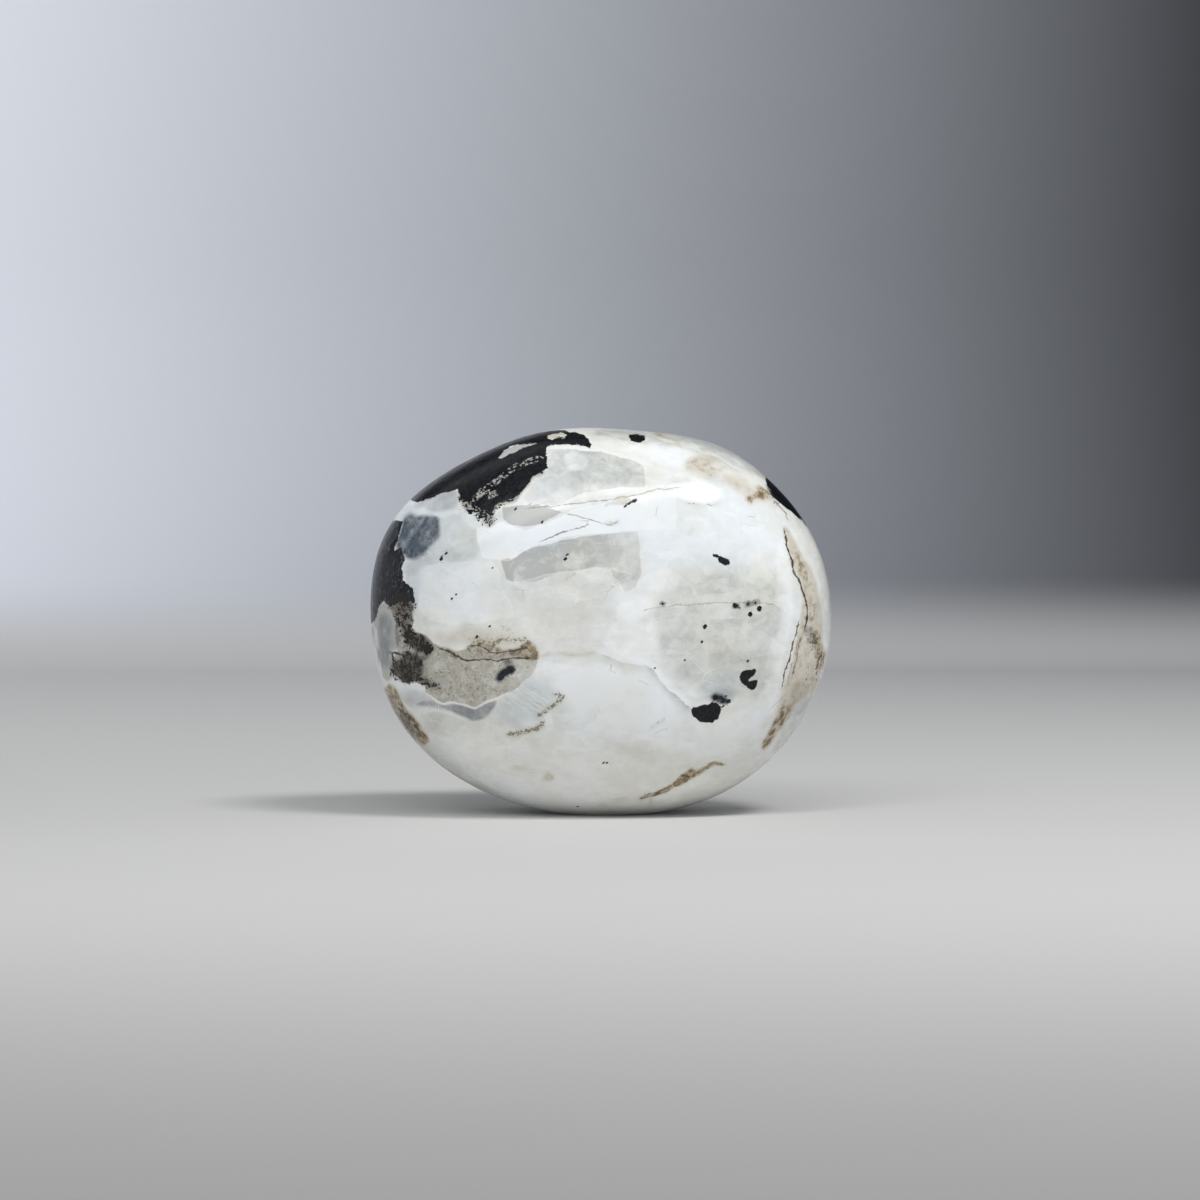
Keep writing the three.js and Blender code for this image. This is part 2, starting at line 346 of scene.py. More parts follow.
# The granular ground of the beige patch and of the brown column: fine quartz and weathered feldspar
GRANULAR = [
    [(-21.5, 18.5), (-20.6, 19.3), (-19.3, 20.0), (-17.8, 19.3),
     (-16.4, 19.6), (-14.9, 20.1), (-13.1, 19.9), (-12.3, 19.3), (-10.5, 19.6), (-9.0, 19.9), (-8.3, 19.4),
     (-7.5, 18.5), (-7.7, 17.6), (-8.5, 16.3), (-10.1, 14.8), (-12.3, 13.8), (-13.6, 13.4), (-14.9, 12.5),
     (-16.0, 12.9), (-17.4, 13.3), (-18.9, 13.1), (-20.9, 14.4), (-21.1, 15.6), (-21.5, 16.7)],
    [(-25.1, 24.4), (-24.8, 25.9), (-22.6, 25.8), (-22.4, 22.7),
     (-22.8, 22.0), (-20.9, 21.2), (-19.6, 20.0), (-20.9, 18.1),
     (-21.1, 16.3), (-19.5, 15.0), (-21.5, 15.4), (-23.3, 15.9),
     (-24.9, 16.4), (-25.0, 18.3), (-24.3, 19.4), (-24.7, 21.5), (-24.6, 22.7)],
]
BACK_GRANULAR = [[(-19.0, 12.0), (-17.0, 16.0), (-14.0, 18.0), (-8.0, 14.0), (-4.5, 12.0), (-9.0, 7.5),
                  (-15.0, 8.0)]]
granular = patches(GRANULAR, BACK_GRANULAR, past_rim=1.0)
browner = amounts([(GRANULAR[1], 1.0, 1.0)])

# Iron stain, tan to brown. Outline, strength, softness
STAINS = [
    ([(-16.3, 19.2), (-16.3, 20.2), (-14.9, 20.5), (-13.1, 20.2),
      (-12.3, 19.6), (-10.5, 19.8), (-9.0, 20.3), (-8.2, 19.7), (-7.4, 18.5), (-9.4, 18.6), (-11.4, 18.5),
      (-13.8, 18.5), (-15.2, 18.7)], 1.15, 0.8),
    ([(-20.0, 19.9), (-18.4, 19.8), (-17.0, 19.2), (-16.2, 18.2),
      (-17.2, 18.0), (-18.6, 18.9), (-19.9, 19.3)], 0.9, 0.7),
    ([(-20.5, 17.5), (-18.8, 17.0), (-18.0, 15.0), (-19.2, 14.0), (-20.8, 15.2)], 0.3, 1.2),
    ([(-20.9, 21.4), (-18.5, 21.8), (-16.0, 22.2), (-12.7, 22.0),
      (-10.5, 21.1), (-9.4, 20.0), (-10.5, 19.4), (-13.1, 19.8),
      (-14.9, 20.1), (-17.8, 19.6), (-19.6, 20.1)], 0.3, 1.5),
    ([(21.8, 34.4), (22.7, 33.3), (24.0, 31.6), (25.0, 29.3), (25.9, 27.1), (26.5, 24.8), (26.7, 21.6),
      (26.8, 19.9), (26.4, 16.9), (25.7, 14.8), (23.7, 13.5), (22.7, 11.8), (21.6, 10.5), (20.5, 8.6),
      (19.4, 7.5), (18.8, 7.7), (19.9, 9.7), (20.8, 11.6), (21.6, 13.5),
      (22.3, 16.1), (22.9, 19.1), (23.5, 21.6), (23.7, 23.5), (24.2, 26.0), (23.4, 28.4), (22.7, 30.6),
      (22.1, 32.5)], 0.5, 0.5),
    ([(22.8, 31.6), (23.9, 31.0), (24.6, 29.3), (24.9, 26.8), (24.5, 26.0), (23.9, 28.2), (23.2, 30.0)],
     0.75, 0.7),
    ([(24.4, 26.0), (25.4, 26.6), (26.0, 24.0), (25.2, 22.2), (24.6, 23.4)], 0.62, 0.8),
    ([(25.2, 22.0), (26.3, 21.8), (26.9, 19.5), (26.6, 17.0), (25.8, 17.2), (25.2, 19.5)], 0.95, 0.8),
    ([(18.9, 7.6), (19.9, 9.8), (20.8, 11.4), (21.9, 12.9), (23.2, 13.0),
      (22.2, 11.4), (21.0, 9.2), (19.7, 7.5)], 0.85, 0.4),
    ([(4.2, 1.5), (6.2, 2.2), (7.1, 2.7), (8.6, 3.6), (9.7, 4.6), (10.9, 5.5), (11.4, 5.1), (12.2, 5.3),
      (13.1, 6.0), (14.3, 6.1), (15.2, 5.7), (13.5, 5.7), (12.2, 4.8), (10.9, 4.0), (8.8, 2.9), (7.1, 2.1)],
     1.0, 0.25),
    ([(-25.8, 15.2), (-24.9, 15.3), (-24.0, 13.7), (-22.9, 12.2), (-21.9, 11.0), (-20.9, 9.9), (-20.3, 8.7),
      (-21.0, 7.9), (-22.4, 8.6), (-23.9, 9.4), (-25.0, 10.6), (-26.2, 12.4), (-26.6, 14.8)], 1.0, 0.5),
    ([(-7.9, 3.6), (-7.2, 4.4), (-6.3, 4.9), (-5.5, 4.1), (-5.9, 3.7)], 0.5, 0.8),
    ([(9.9, 41.4), (10.5, 42.5), (12.0, 42.9), (13.3, 42.4), (13.9, 41.4), (14.8, 40.8), (13.3, 40.2),
      (12.0, 40.4), (10.7, 40.8)], 0.52, 1.3),
    ([(14.3, 40.4), (15.6, 40.4), (17.6, 39.5), (19.3, 38.7), (20.1, 37.8), (17.8, 37.2), (17.6, 38.0),
      (15.6, 39.3)], 0.4, 1.0),
    ([(17.6, 37.8), (17.8, 37.2), (18.6, 37.6), (19.7, 37.4), (20.5, 37.8), (19.9, 38.9), (18.4, 39.4),
      (18.8, 38.4)], 0.9, 0.7),
    ([(0.3, 36.7), (1.3, 37.4), (2.6, 37.9), (3.7, 37.5), (4.3, 37.3), (3.0, 36.8), (1.5, 37.0)],
     0.45, 0.2),
    ([(-12.0, 6.0), (-4.0, 8.0), (6.0, 9.0), (12.0, 7.5), (8.0, 2.0), (-2.0, 0.5), (-9.0, 1.5)], 0.1, 4.0),
    ([(-6.4, 45.1), (-5.3, 45.3), (-4.1, 45.3), (-4.2, 44.7), (-5.7, 44.5)], 0.4, 0.6),
    ([(-8.0, 27.0), (1.5, 28.0), (1.0, 20.0), (-7.0, 19.5)], 0.14, 3.0),
]
BACK_STAINS = [
    ([(-2.0, 6.5), (6.0, 8.5), (13.0, 7.5), (8.0, 5.5), (1.0, 4.8)], 0.9, 0.5),
    ([(16.0, 28.0), (21.0, 30.0), (23.0, 24.0), (20.0, 18.0), (17.5, 21.0)], 0.45, 1.0),
    ([(-19.0, 11.0), (-17.0, 20.0), (-13.0, 22.0), (-11.0, 19.0), (-15.0, 10.0)], 0.5, 1.0),
    ([(-3.0, 44.0), (6.0, 43.0), (11.0, 40.0), (5.0, 41.0), (-2.0, 42.0)], 0.5, 0.8),
]
# Tan lines: route, half its width, strength
STAIN_LINES = [
    ([(24.9, 24.4), (24.6, 22.7), (24.3, 21.6), (23.7, 19.9), (23.4, 18.4), (23.1, 16.9), (22.7, 15.6)],
     0.3, 0.6),
    ([(-7.7, 18.5), (-6.0, 19.1), (-3.1, 18.9), (-0.2, 19.2)], 0.25, 0.4),
    ([(-6.3, 41.0), (-7.7, 40.3), (-8.7, 39.2), (-9.9, 37.9), (-11.4, 37.2), (-12.6, 36.8)], 0.3, 0.4),
    ([(5.4, 45.7), (7.1, 45.2), (8.7, 44.5), (10.1, 43.5)], 0.2, 0.6),
]
stain = amounts(STAINS, BACK_STAINS, past_rim=-1.5)
for route, half_width, strength in STAIN_LINES:
    line_side, line_here = beside(route, 1.0)
    stain = np.maximum(stain, strength * line_here * np.exp(-(line_side / half_width) ** 2))
# Olive-brown grains strung along hair cracks, like moss: route, half its width, strength
MOSS = [
    ([(-6.3, 14.6), (-4.6, 13.8), (-5.5, 13.0), (-6.6, 12.2), (-7.6, 11.4), (-8.1, 11.1)], 0.38, 1.05),
    ([(-7.4, 11.4), (-7.0, 10.6), (-7.6, 10.0), (-9.0, 9.7), (-10.2, 9.3), (-11.2, 9.4), (-11.6, 10.0)],
     0.4, 1.05),
    ([(4.2, 1.4), (5.6, 2.1), (6.4, 2.3)], 0.35, 0.8),
    ([(6.1, 2.4), (6.0, 1.3), (5.9, 0.6)], 0.3, 0.7),
    ([(-16.4, 20.3), (-14.5, 20.7), (-13.0, 20.2), (-11.8, 20.8), (-9.0, 20.6), (-8.0, 19.4)], 0.5, 0.8),
    ([(-12.5, 22.2), (-11.0, 21.9), (-9.8, 21.0)], 0.35, 0.6),
    ([(9.4, 37.4), (10.5, 37.0), (12.2, 36.7), (14.6, 37.0)], 0.25, 0.6),
    ([(0.4, 34.8), (1.6, 34.6), (2.4, 35.0)], 0.3, 0.7),
    ([(10.2, 33.1), (10.9, 33.8), (11.4, 34.2)], 0.3, 0.5),
    ([(5.6, 10.0), (7.0, 10.8), (8.0, 11.3)], 0.25, 0.5),
    ([(1.8, 24.8), (1.6, 22.9), (-0.6, 22.6)], 0.2, 0.45),
]
BACK_MOSS = [
    ([(-3.0, 33.0), (0.0, 35.0), (2.5, 34.0), (4.0, 36.5)], 0.4, 0.9),
    ([(13.0, 24.0), (14.5, 21.0), (13.5, 18.5)], 0.4, 0.9),
    ([(-20.0, 17.0), (-17.5, 20.5), (-18.5, 24.0)], 0.35, 0.8),
]
moss = np.zeros(len(points))
for is_back, group in ((False, MOSS), (True, BACK_MOSS)):
    for route, half_width, strength in group:
        line_side, line_here = beside(route, 1.2, is_back)
        moss = np.maximum(moss, strength * line_here * np.exp(-(line_side / half_width) ** 2))

# Feldspar that is clearer and greyer than the rest, or whiter. The panes and the bright blocks have crisp
# edges, where
# the crystal cleaved: outline, strength, the place where it is clearest or brightest, and the distance in mm
# over which that fades. The cloudy and the milky patches are soft: outline, strength, softness. The bright
# block across the upper face is also a painted sheen, and the milky patches low on the face are also painted
# light from below
PANES = [
    ([(-6.4, 43.4), (-3.7, 43.5), (-0.9, 43.3), (1.2, 42.9), (3.3, 42.3), (5.2, 41.4), (5.3, 39.0),
      (2.3, 39.0), (-2.1, 38.3), (-4.9, 36.9), (-7.9, 36.7), (-9.2, 37.6), (-7.6, 40.1), (-6.3, 41.0)],
     0.5, (0.5, 40.5), 12.0),
    ([(-11.8, 36.6), (-10.5, 36.7), (-8.7, 36.8), (-5.7, 36.4), (-4.6, 35.9), (-5.9, 35.3), (-7.6, 34.4),
      (-8.8, 34.2), (-10.5, 34.4), (-11.6, 35.1)], 1.3, (-8.0, 35.3), 8.0),
    ([(-12.0, 30.4), (-10.5, 30.5), (-9.4, 31.1), (-8.1, 31.8), (-5.4, 32.4), (-2.4, 33.0), (0.5, 33.4),
      (4.3, 33.6), (4.6, 32.0), (4.8, 29.9), (4.7, 28.3), (4.2, 26.9),
      (3.0, 26.3), (2.1, 27.5), (1.2, 29.1), (-0.3, 29.4), (-3.2, 28.9),
      (-5.4, 28.7), (-7.2, 27.9), (-9.4, 27.6), (-11.2, 27.8)], 0.78, (-8.0, 30.0), 16.0),
]
BACK_PANES = [
    ([(-3.0, 30.0), (4.0, 33.0), (12.0, 31.0), (14.0, 26.0), (8.0, 23.5), (0.0, 24.0), (-4.0, 26.5)],
     0.7, (0.0, 27.0), 14.0),
    ([(2.0, 18.0), (10.0, 20.0), (16.0, 17.0), (13.0, 11.0), (5.0, 9.5), (0.0, 12.5)],
     0.6, (12.0, 15.0), 12.0),
]
CLOUDY = [
    ([(-11.7, 28.4), (-4.9, 29.0), (0.4, 29.2), (4.7, 28.4), (4.5, 27.5), (2.5, 26.9), (1.9, 25.5),
      (1.7, 22.8), (-2.5, 22.5), (-7.3, 22.8), (-9.7, 24.3)], 0.08, 1.0),
    ([(7.1, 25.6), (8.4, 27.8), (9.2, 28.4), (14.3, 29.6), (18.6, 29.0),
      (20.8, 27.8), (21.4, 25.6), (21.6, 21.9), (21.8, 18.3), (20.2, 14.7), (17.3, 12.9), (14.3, 13.5),
      (11.9, 14.7), (8.5, 17.3), (6.8, 20.7)], 0.34, 2.8),
    ([(-19.3, 35.6), (-17.1, 36.0), (-16.0, 34.5), (-14.9, 33.4),
      (-14.7, 30.9), (-14.2, 30.3), (-17.1, 30.1), (-19.6, 30.0),
      (-21.5, 29.4), (-22.3, 27.5), (-22.3, 24.0), (-21.0, 22.6),
      (-23.5, 24.5), (-23.6, 29.0), (-22.8, 30.5), (-21.1, 30.9), (-19.6, 32.3), (-19.3, 34.2)], 0.24, 0.5),
    ([(-21.8, 11.9), (-19.6, 12.4), (-17.1, 11.7), (-16.0, 10.8), (-17.1, 9.9), (-18.2, 9.3), (-20.0, 9.0),
      (-21.5, 9.7), (-22.2, 10.8)], 0.28, 0.6),
    ([(-27.3, 24.4), (-26.2, 24.9), (-24.7, 24.6), (-24.4, 22.7),
      (-24.4, 20.0), (-24.6, 18.1), (-24.7, 16.3), (-25.9, 15.8), (-26.6, 17.8), (-27.2, 20.9)], 0.85, 0.8),
    ([(22.5, 14.0), (26.0, 17.0), (26.5, 12.0), (22.0, 7.0), (20.5, 7.5)], 0.4, 1.5),
    ([(13.0, 5.0), (18.0, 8.0), (22.0, 12.0), (25.0, 14.0), (22.0, 7.0), (16.0, 2.0)], 0.1, 1.5),
    ([(-1.5, 44.3), (-1.0, 47.0), (8.0, 47.0), (16.0, 44.0), (21.0, 40.0), (15.0, 41.5), (8.0, 43.8)],
     0.45, 1.2),
    ([(-12.4, 42.3), (-11.6, 43.4), (-8.8, 44.3), (-7.2, 44.4), (-9.8, 43.1)], 1.0, 0.4),
    ([(-26.0, 16.0), (-22.0, 10.0), (-18.0, 6.0), (-12.0, 2.0), (-13.0, 0.0), (-22.0, 4.0), (-28.0, 13.0)],
     0.2, 1.5),
]
BACK_CLOUDY = [
    ([(-22.0, 28.0), (-14.0, 34.0), (-6.0, 36.0), (-2.0, 31.0), (-9.0, 27.0), (-16.0, 24.0)], 0.35, 1.2),
    ([(-4.0, 10.0), (4.0, 12.0), (9.0, 9.0), (6.0, 4.0), (-3.0, 3.0)], 0.35, 1.5),
    ([(14.0, 34.0), (20.0, 31.0), (23.0, 25.0), (18.0, 24.0), (12.0, 28.0)], 0.4, 1.0),
    ([(-10.0, 42.0), (0.0, 43.5), (6.0, 41.0), (0.0, 38.5), (-8.0, 39.0)], 0.45, 0.8),
]
# Whiter feldspar: a block on the left, and the band across the upper face, which is whiter feldspar with a
# painted sheen over it, where the band of light from the windows crosses the face
BRIGHT_AND_PAINTED_SHEEN = [
    ([(-21.5, 29.0), (-20.4, 29.6), (-18.5, 30.0), (-16.0, 30.1),
      (-14.2, 30.2), (-12.9, 30.0), (-12.0, 28.7), (-11.8, 26.8),
      (-10.5, 25.0), (-10.4, 23.4), (-14.2, 22.7), (-17.8, 22.5),
      (-20.0, 22.9), (-21.5, 23.8), (-21.9, 24.9), (-21.8, 26.7)], 0.38, (-17.0, 25.0), 18.0),
    ([(-16.2, 35.1), (-14.9, 34.2), (-13.1, 34.2), (-11.8, 34.9), (-10.5, 34.2), (-8.7, 33.8), (-6.8, 34.5),
      (-5.0, 35.3), (-3.2, 36.4), (-0.1, 37.0), (5.0, 38.0), (9.0, 38.4), (9.0, 34.0), (4.9, 33.8),
      (-0.1, 33.5), (-3.2, 33.2), (-5.9, 32.6), (-8.1, 31.9), (-9.6, 31.0), (-10.9, 30.1), (-12.7, 30.3),
      (-14.2, 30.5), (-14.7, 32.3), (-14.9, 33.8)], 1.0, (-6.0, 34.0), 25.0),
]
BACK_BRIGHT = [([(-18.0, 30.0), (-9.0, 33.0), (-6.0, 28.0), (-8.0, 23.5), (-16.0, 24.0)], 0.6,
                (-12.0, 28.0), 18.0)]
# Milky feldspar. The patches low on the face are also painted light: they are made extra white to stand in
# for light thrown up from the floor onto the lower half
MILKY_AND_PAINTED_BOUNCE = [
    ([(-6.0, 17.0), (2.0, 17.6), (5.0, 16.5), (8.5, 13.5), (10.0, 9.0),
      (4.0, 8.0), (-2.0, 10.0), (-5.0, 13.0)], 1.35, 2.0),
    ([(-18.0, 8.5), (-12.0, 11.0), (-7.0, 7.0), (-11.0, 4.0), (-16.0, 6.0)], 0.8, 1.5),
    ([(-12.0, 3.0), (-9.0, 7.0), (2.0, 8.0), (13.0, 4.5), (9.0, 0.5), (-8.0, 0.5)], 1.0, 2.5),
    ([(11.0, 10.0), (18.0, 13.5), (20.0, 11.0), (15.0, 7.0), (9.0, 6.5), (5.0, 9.0)], 1.1, 2.0),
    ([(5.4, 38.5), (5.0, 28.5), (6.5, 26.0), (9.0, 29.0), (20.0, 29.5),
      (21.8, 34.0), (18.0, 38.0), (10.0, 39.5)], 0.5, 1.2),
    ([(-4.6, 42.6), (-3.0, 42.9), (-1.2, 42.3), (-2.2, 41.2), (-4.0, 41.2)], 0.9, 0.7),
    ([(-20.5, 10.5), (-13.0, 10.5), (-10.0, 7.5), (-8.0, 4.0), (-16.0, 4.5)], 0.5, 2.0),
    ([(1.9, 25.5), (6.4, 26.2), (6.2, 20.5), (8.0, 17.2), (4.5, 17.8),
      (2.4, 18.6), (-0.2, 19.6), (1.0, 22.5)], 0.6, 0.8),
    ([(0.0, 44.8), (9.0, 44.5), (14.0, 43.0), (9.0, 41.0), (6.0, 42.0)], 0.5, 1.0),
    ([(21.3, 33.5), (22.6, 29.0), (23.5, 25.5), (22.5, 20.0), (20.9, 13.5), (19.0, 9.5), (17.5, 11.0),
      (20.5, 16.0), (21.8, 20.0), (22.0, 26.0), (21.0, 30.0)], 0.6, 0.8),
    ([(-9.0, 17.5), (-3.0, 18.5), (2.0, 17.5), (5.0, 14.0), (2.0, 12.0), (-3.5, 16.0)], 0.6, 1.5),
    ([(-23.9, 35.3), (-22.8, 36.4), (-21.1, 37.5), (-18.9, 37.5),
      (-18.5, 36.0), (-19.3, 35.7), (-21.1, 36.0), (-23.1, 35.6)], 0.4, 0.4),
]
BACK_MILKY = [
    ([(-4.0, 38.0), (6.0, 40.0), (14.0, 36.0), (8.0, 32.0), (-2.0, 33.0)], 0.7, 1.0),
    ([(-24.0, 20.0), (-18.0, 22.0), (-15.0, 17.0), (-20.0, 12.0)], 0.6, 1.2),
    ([(8.0, 14.0), (18.0, 20.0), (22.0, 14.0), (15.0, 8.0)], 0.7, 1.0),
    ([(-6.0, 23.0), (2.0, 22.5), (1.0, 16.0), (-4.0, 15.0)], 0.6, 0.8),
]


def crisp(front, back):
    """Patches with a crisp edge: the distance into them, and how strong they are there."""
    depth_in = np.full(len(points), -3.0)
    strength = np.zeros(len(points))
    for is_back, group in ((False, front), (True, back)):
        for outline, most, (clearest_across, clearest_up), reach in group:
            distance = within(outline, 0.0, is_back)
            away = np.hypot(across - clearest_across, up - clearest_up) / reach
            strength = np.where(distance > depth_in, most * np.clip(1.15 - away, 0.2, 1.0), strength)
            depth_in = np.maximum(depth_in, distance)
    return depth_in, strength


pane, pane_strength = crisp(PANES, BACK_PANES)
bright_and_painted_sheen, bright_and_painted_sheen_strength = crisp(BRIGHT_AND_PAINTED_SHEEN, BACK_BRIGHT)
cloudy = amounts(CLOUDY, BACK_CLOUDY)
milky_and_painted_bounce = amounts(MILKY_AND_PAINTED_BOUNCE, BACK_MILKY)

# Blue-grey feldspar: a smoky patch by the band, the lilac sliver under the beige patch, and a blue halo
SMOKY = [
    ([(-23.5, 35.4), (-21.1, 35.8), (-19.0, 35.6), (-19.1, 34.2),
      (-19.3, 32.9), (-20.7, 31.9), (-21.6, 30.9), (-23.3, 30.6),
      (-24.4, 31.4), (-24.2, 33.1), (-23.8, 34.4)], 1.05, 0.5),
    ([(-23.4, 35.3), (-21.1, 35.6), (-19.2, 35.5), (-19.3, 33.6),
      (-20.6, 33.4), (-21.5, 34.2), (-23.4, 34.2)], 1.1, 1.0),
    ([(-23.6, 31.9), (-22.3, 31.9), (-21.2, 31.4), (-22.0, 30.6), (-23.4, 30.6)], 1.05, 0.8),
    ([(-22.8, 12.8), (-20.9, 13.6), (-18.9, 12.8), (-17.1, 13.0),
      (-15.6, 12.6), (-14.9, 12.4), (-13.6, 13.2), (-12.5, 13.4),
      (-12.7, 12.8), (-13.4, 11.7), (-15.2, 10.9), (-16.2, 11.4), (-17.8, 12.1), (-19.6, 12.6)], 0.7, 0.3),
    ([(12.9, 13.5), (13.3, 14.0), (14.3, 14.8), (15.6, 15.2), (16.2, 13.9), (15.6, 12.9), (14.3, 12.6),
      (13.3, 13.0)], 0.35, 1.0),
    ([(-22.4, 37.2), (-19.5, 38.4), (-17.2, 38.9), (-16.8, 37.0), (-18.5, 35.6), (-21.5, 36.0)], 0.42, 0.9),
    ([(-24.5, 14.6), (-22.0, 14.6), (-20.5, 13.8), (-19.0, 13.0), (-21.0, 12.4), (-24.0, 12.6)], 0.3, 0.8),
    ([(-27.4, 21.0), (-26.4, 24.0), (-25.0, 23.0), (-25.1, 17.5), (-26.8, 17.0)], 0.55, 1.0),
]
smoky = amounts(SMOKY)

# Dark smudges, where grains of tourmaline too small to see cloud the rock
DUSKY = [
    ([(-13.0, 16.2), (-12.0, 17.3), (-11.0, 17.9), (-10.2, 17.8),
      (-10.1, 16.8), (-10.9, 16.3), (-11.6, 15.3), (-12.5, 15.4)], 1.2, 0.8),
    ([(-12.0, 18.7), (-10.3, 18.7), (-10.2, 17.4), (-11.6, 17.4)], 0.5, 0.7),
    ([(-25.0, 18.7), (-24.2, 18.2), (-23.0, 18.8), (-21.4, 18.5),
      (-21.3, 16.3), (-23.0, 15.8), (-25.0, 16.3)], 0.55, 0.9),
    ([(-23.3, 22.1), (-22.0, 21.6), (-20.6, 20.6), (-20.0, 19.6),
      (-20.6, 18.9), (-21.6, 19.5), (-22.9, 20.0)], 0.55, 0.8),
    ([(-24.6, 25.5), (-22.6, 25.5), (-22.4, 22.6), (-24.0, 22.9)], 0.3, 0.8),
    ([(13.2, 13.9), (14.0, 14.1), (15.0, 13.8), (15.7, 13.3), (15.6, 12.7), (14.8, 12.6), (13.8, 12.9)],
     0.75, 0.8),
    ([(15.5, 24.7), (16.0, 25.2), (16.6, 24.9), (16.4, 24.4)], 0.85, 0.6),
    ([(17.1, 24.9), (17.5, 25.3), (18.0, 24.9), (17.5, 24.6)], 0.5, 0.6),
    ([(18.2, 25.1), (18.6, 25.5), (19.0, 25.1), (18.6, 24.9)], 0.4, 0.5),
    ([(7.0, 25.0), (7.4, 25.4), (7.9, 25.1), (7.4, 24.7)], 0.5, 0.6),
    ([(23.4, 22.9), (25.6, 22.4), (26.3, 19.5), (25.8, 17.2), (25.0, 19.8), (24.2, 21.5)], 0.3, 1.2),
    ([(-25.4, 14.0), (-23.4, 12.4), (-21.0, 9.6), (-21.4, 8.3), (-24.0, 9.8), (-26.0, 12.8)], 0.42, 0.8),
]
BACK_DUSKY = [
    ([(-18.0, 12.0), (-16.0, 20.0), (-10.0, 21.0), (-4.0, 22.0), (-4.0, 15.0), (-8.0, 9.0), (-14.0, 8.0)],
     0.3, 1.5),
    ([(-21.5, 25.0), (-19.5, 27.5), (-17.0, 26.5), (-18.0, 24.0)], 0.4, 1.2),
]
dusky = amounts(DUSKY, BACK_DUSKY)

# A painted blue sheen, the blue glow that moonstone shows in light, laid into its colour; and a fan of thin
# twin layers on the slant below the beige patch
PAINTED_BLUE_SHEEN = [
    ([(-25.0, 36.5), (-14.0, 38.5), (-11.0, 33.0), (-12.0, 29.0),
      (-21.5, 29.2), (-22.6, 23.5), (-24.2, 24.5), (-24.5, 30.0)], 1.0, 2.0),
    ([(-15.0, 35.0), (-9.0, 34.0), (0.0, 37.0), (9.0, 38.5), (9.0, 33.8), (0.0, 33.4), (-10.0, 30.5),
      (-14.0, 30.5)], 0.7, 2.0),
    ([(-22.0, 29.5), (-12.0, 30.0), (-10.5, 25.0), (-14.0, 22.7), (-21.0, 24.0)], 0.45, 2.0),
    ([(5.0, 38.5), (5.0, 28.5), (9.0, 28.0), (20.0, 29.5), (21.8, 34.0), (18.0, 38.0), (10.0, 39.5)],
     0.6, 2.5),
    ([(-9.0, 16.0), (-2.0, 17.8), (5.0, 17.0), (9.0, 12.5), (11.0, 9.0), (4.0, 8.0), (-4.0, 10.0)],
     0.55, 2.5),
    ([(-11.0, 14.5), (-8.5, 16.5), (-4.0, 15.5), (-5.5, 12.0), (-9.0, 10.5), (-13.5, 11.5)], 1.0, 1.5),
    ([(11.0, 10.0), (18.0, 13.5), (20.0, 11.0), (14.0, 7.0), (7.0, 8.0)], 0.6, 2.5),
    ([(-6.0, 43.4), (4.0, 42.5), (5.3, 39.0), (-4.9, 36.9), (-8.5, 37.5)], 0.4, 1.5),
    ([(12.0, 15.5), (14.0, 17.5), (17.0, 16.5), (17.0, 13.5), (14.0, 12.5)], 0.8, 1.5),
]
BACK_PAINTED_BLUE_SHEEN = [
    ([(-12.0, 40.0), (4.0, 41.5), (9.0, 33.0), (-6.0, 31.0)], 0.9, 3.0),
    ([(5.0, 22.0), (18.0, 23.0), (21.0, 12.0), (8.0, 8.0)], 0.8, 3.0),
]
painted_blue_sheen = amounts(PAINTED_BLUE_SHEEN, BACK_PAINTED_BLUE_SHEEN)
twinned = amounts([([(-10.6, 15.2), (-8.8, 16.0), (-6.0, 14.6), (-5.4, 13.2), (-7.5, 11.8), (-10.5, 12.6),
                     (-12.4, 13.4)], 1.0, 1.2)],
                  [([(2.0, 31.0), (9.0, 33.0), (12.0, 28.0), (4.0, 26.0)], 0.8, 2.0)])

# Cracks and seams, as routes across the face with a strength. Dark routes that come close to each other
# are in two sets. The pale set is healed cracks, and the feather is a step in the crystal, drawn with a
# painted highlight on one side of it and painted shade on the other
dark_a, dark_a_here = line_field([
    ([(21.8, 34.4), (22.1, 33.1), (22.3, 31.8), (22.9, 30.1), (23.1, 28.8), (23.7, 28.0), (24.2, 26.7),
      (24.7, 24.8), (24.7, 23.5), (24.6, 22.7), (24.3, 21.6)], 1.0),
    ([(-20.0, 20.0), (-18.5, 19.4), (-17.1, 18.7), (-16.0, 18.2),
      (-14.2, 18.3), (-12.3, 18.2), (-10.5, 18.5), (-7.7, 18.5)], 0.85),
    ([(-9.7, 36.3), (-4.9, 36.8), (-2.1, 37.1), (1.6, 37.6), (3.3, 37.8), (5.8, 38.5), (9.8, 39.0)], 0.35),
    ([(4.5, 24.0), (6.6, 24.5), (8.8, 24.8), (13.3, 25.1), (17.3, 25.1), (20.7, 25.0), (21.7, 24.0)], 0.25),
    ([(-24.3, 22.8), (-23.4, 21.9), (-22.8, 20.2), (-23.2, 18.8),
      (-25.0, 19.2), (-24.7, 16.8), (-23.5, 15.7), (-21.6, 15.9), (-20.5, 15.4), (-19.3, 14.8)], 1.0),
], [
    ([(-20.0, 22.0), (-12.0, 21.5), (-4.0, 22.5), (3.0, 21.0), (11.0, 22.0), (19.0, 24.5)], 0.5),
    ([(-12.0, 38.0), (-9.0, 33.0), (-5.0, 30.0), (-4.0, 26.0)], 0.4),
    ([(2.0, 11.0), (8.0, 7.5), (15.0, 8.5)], 0.6),
])
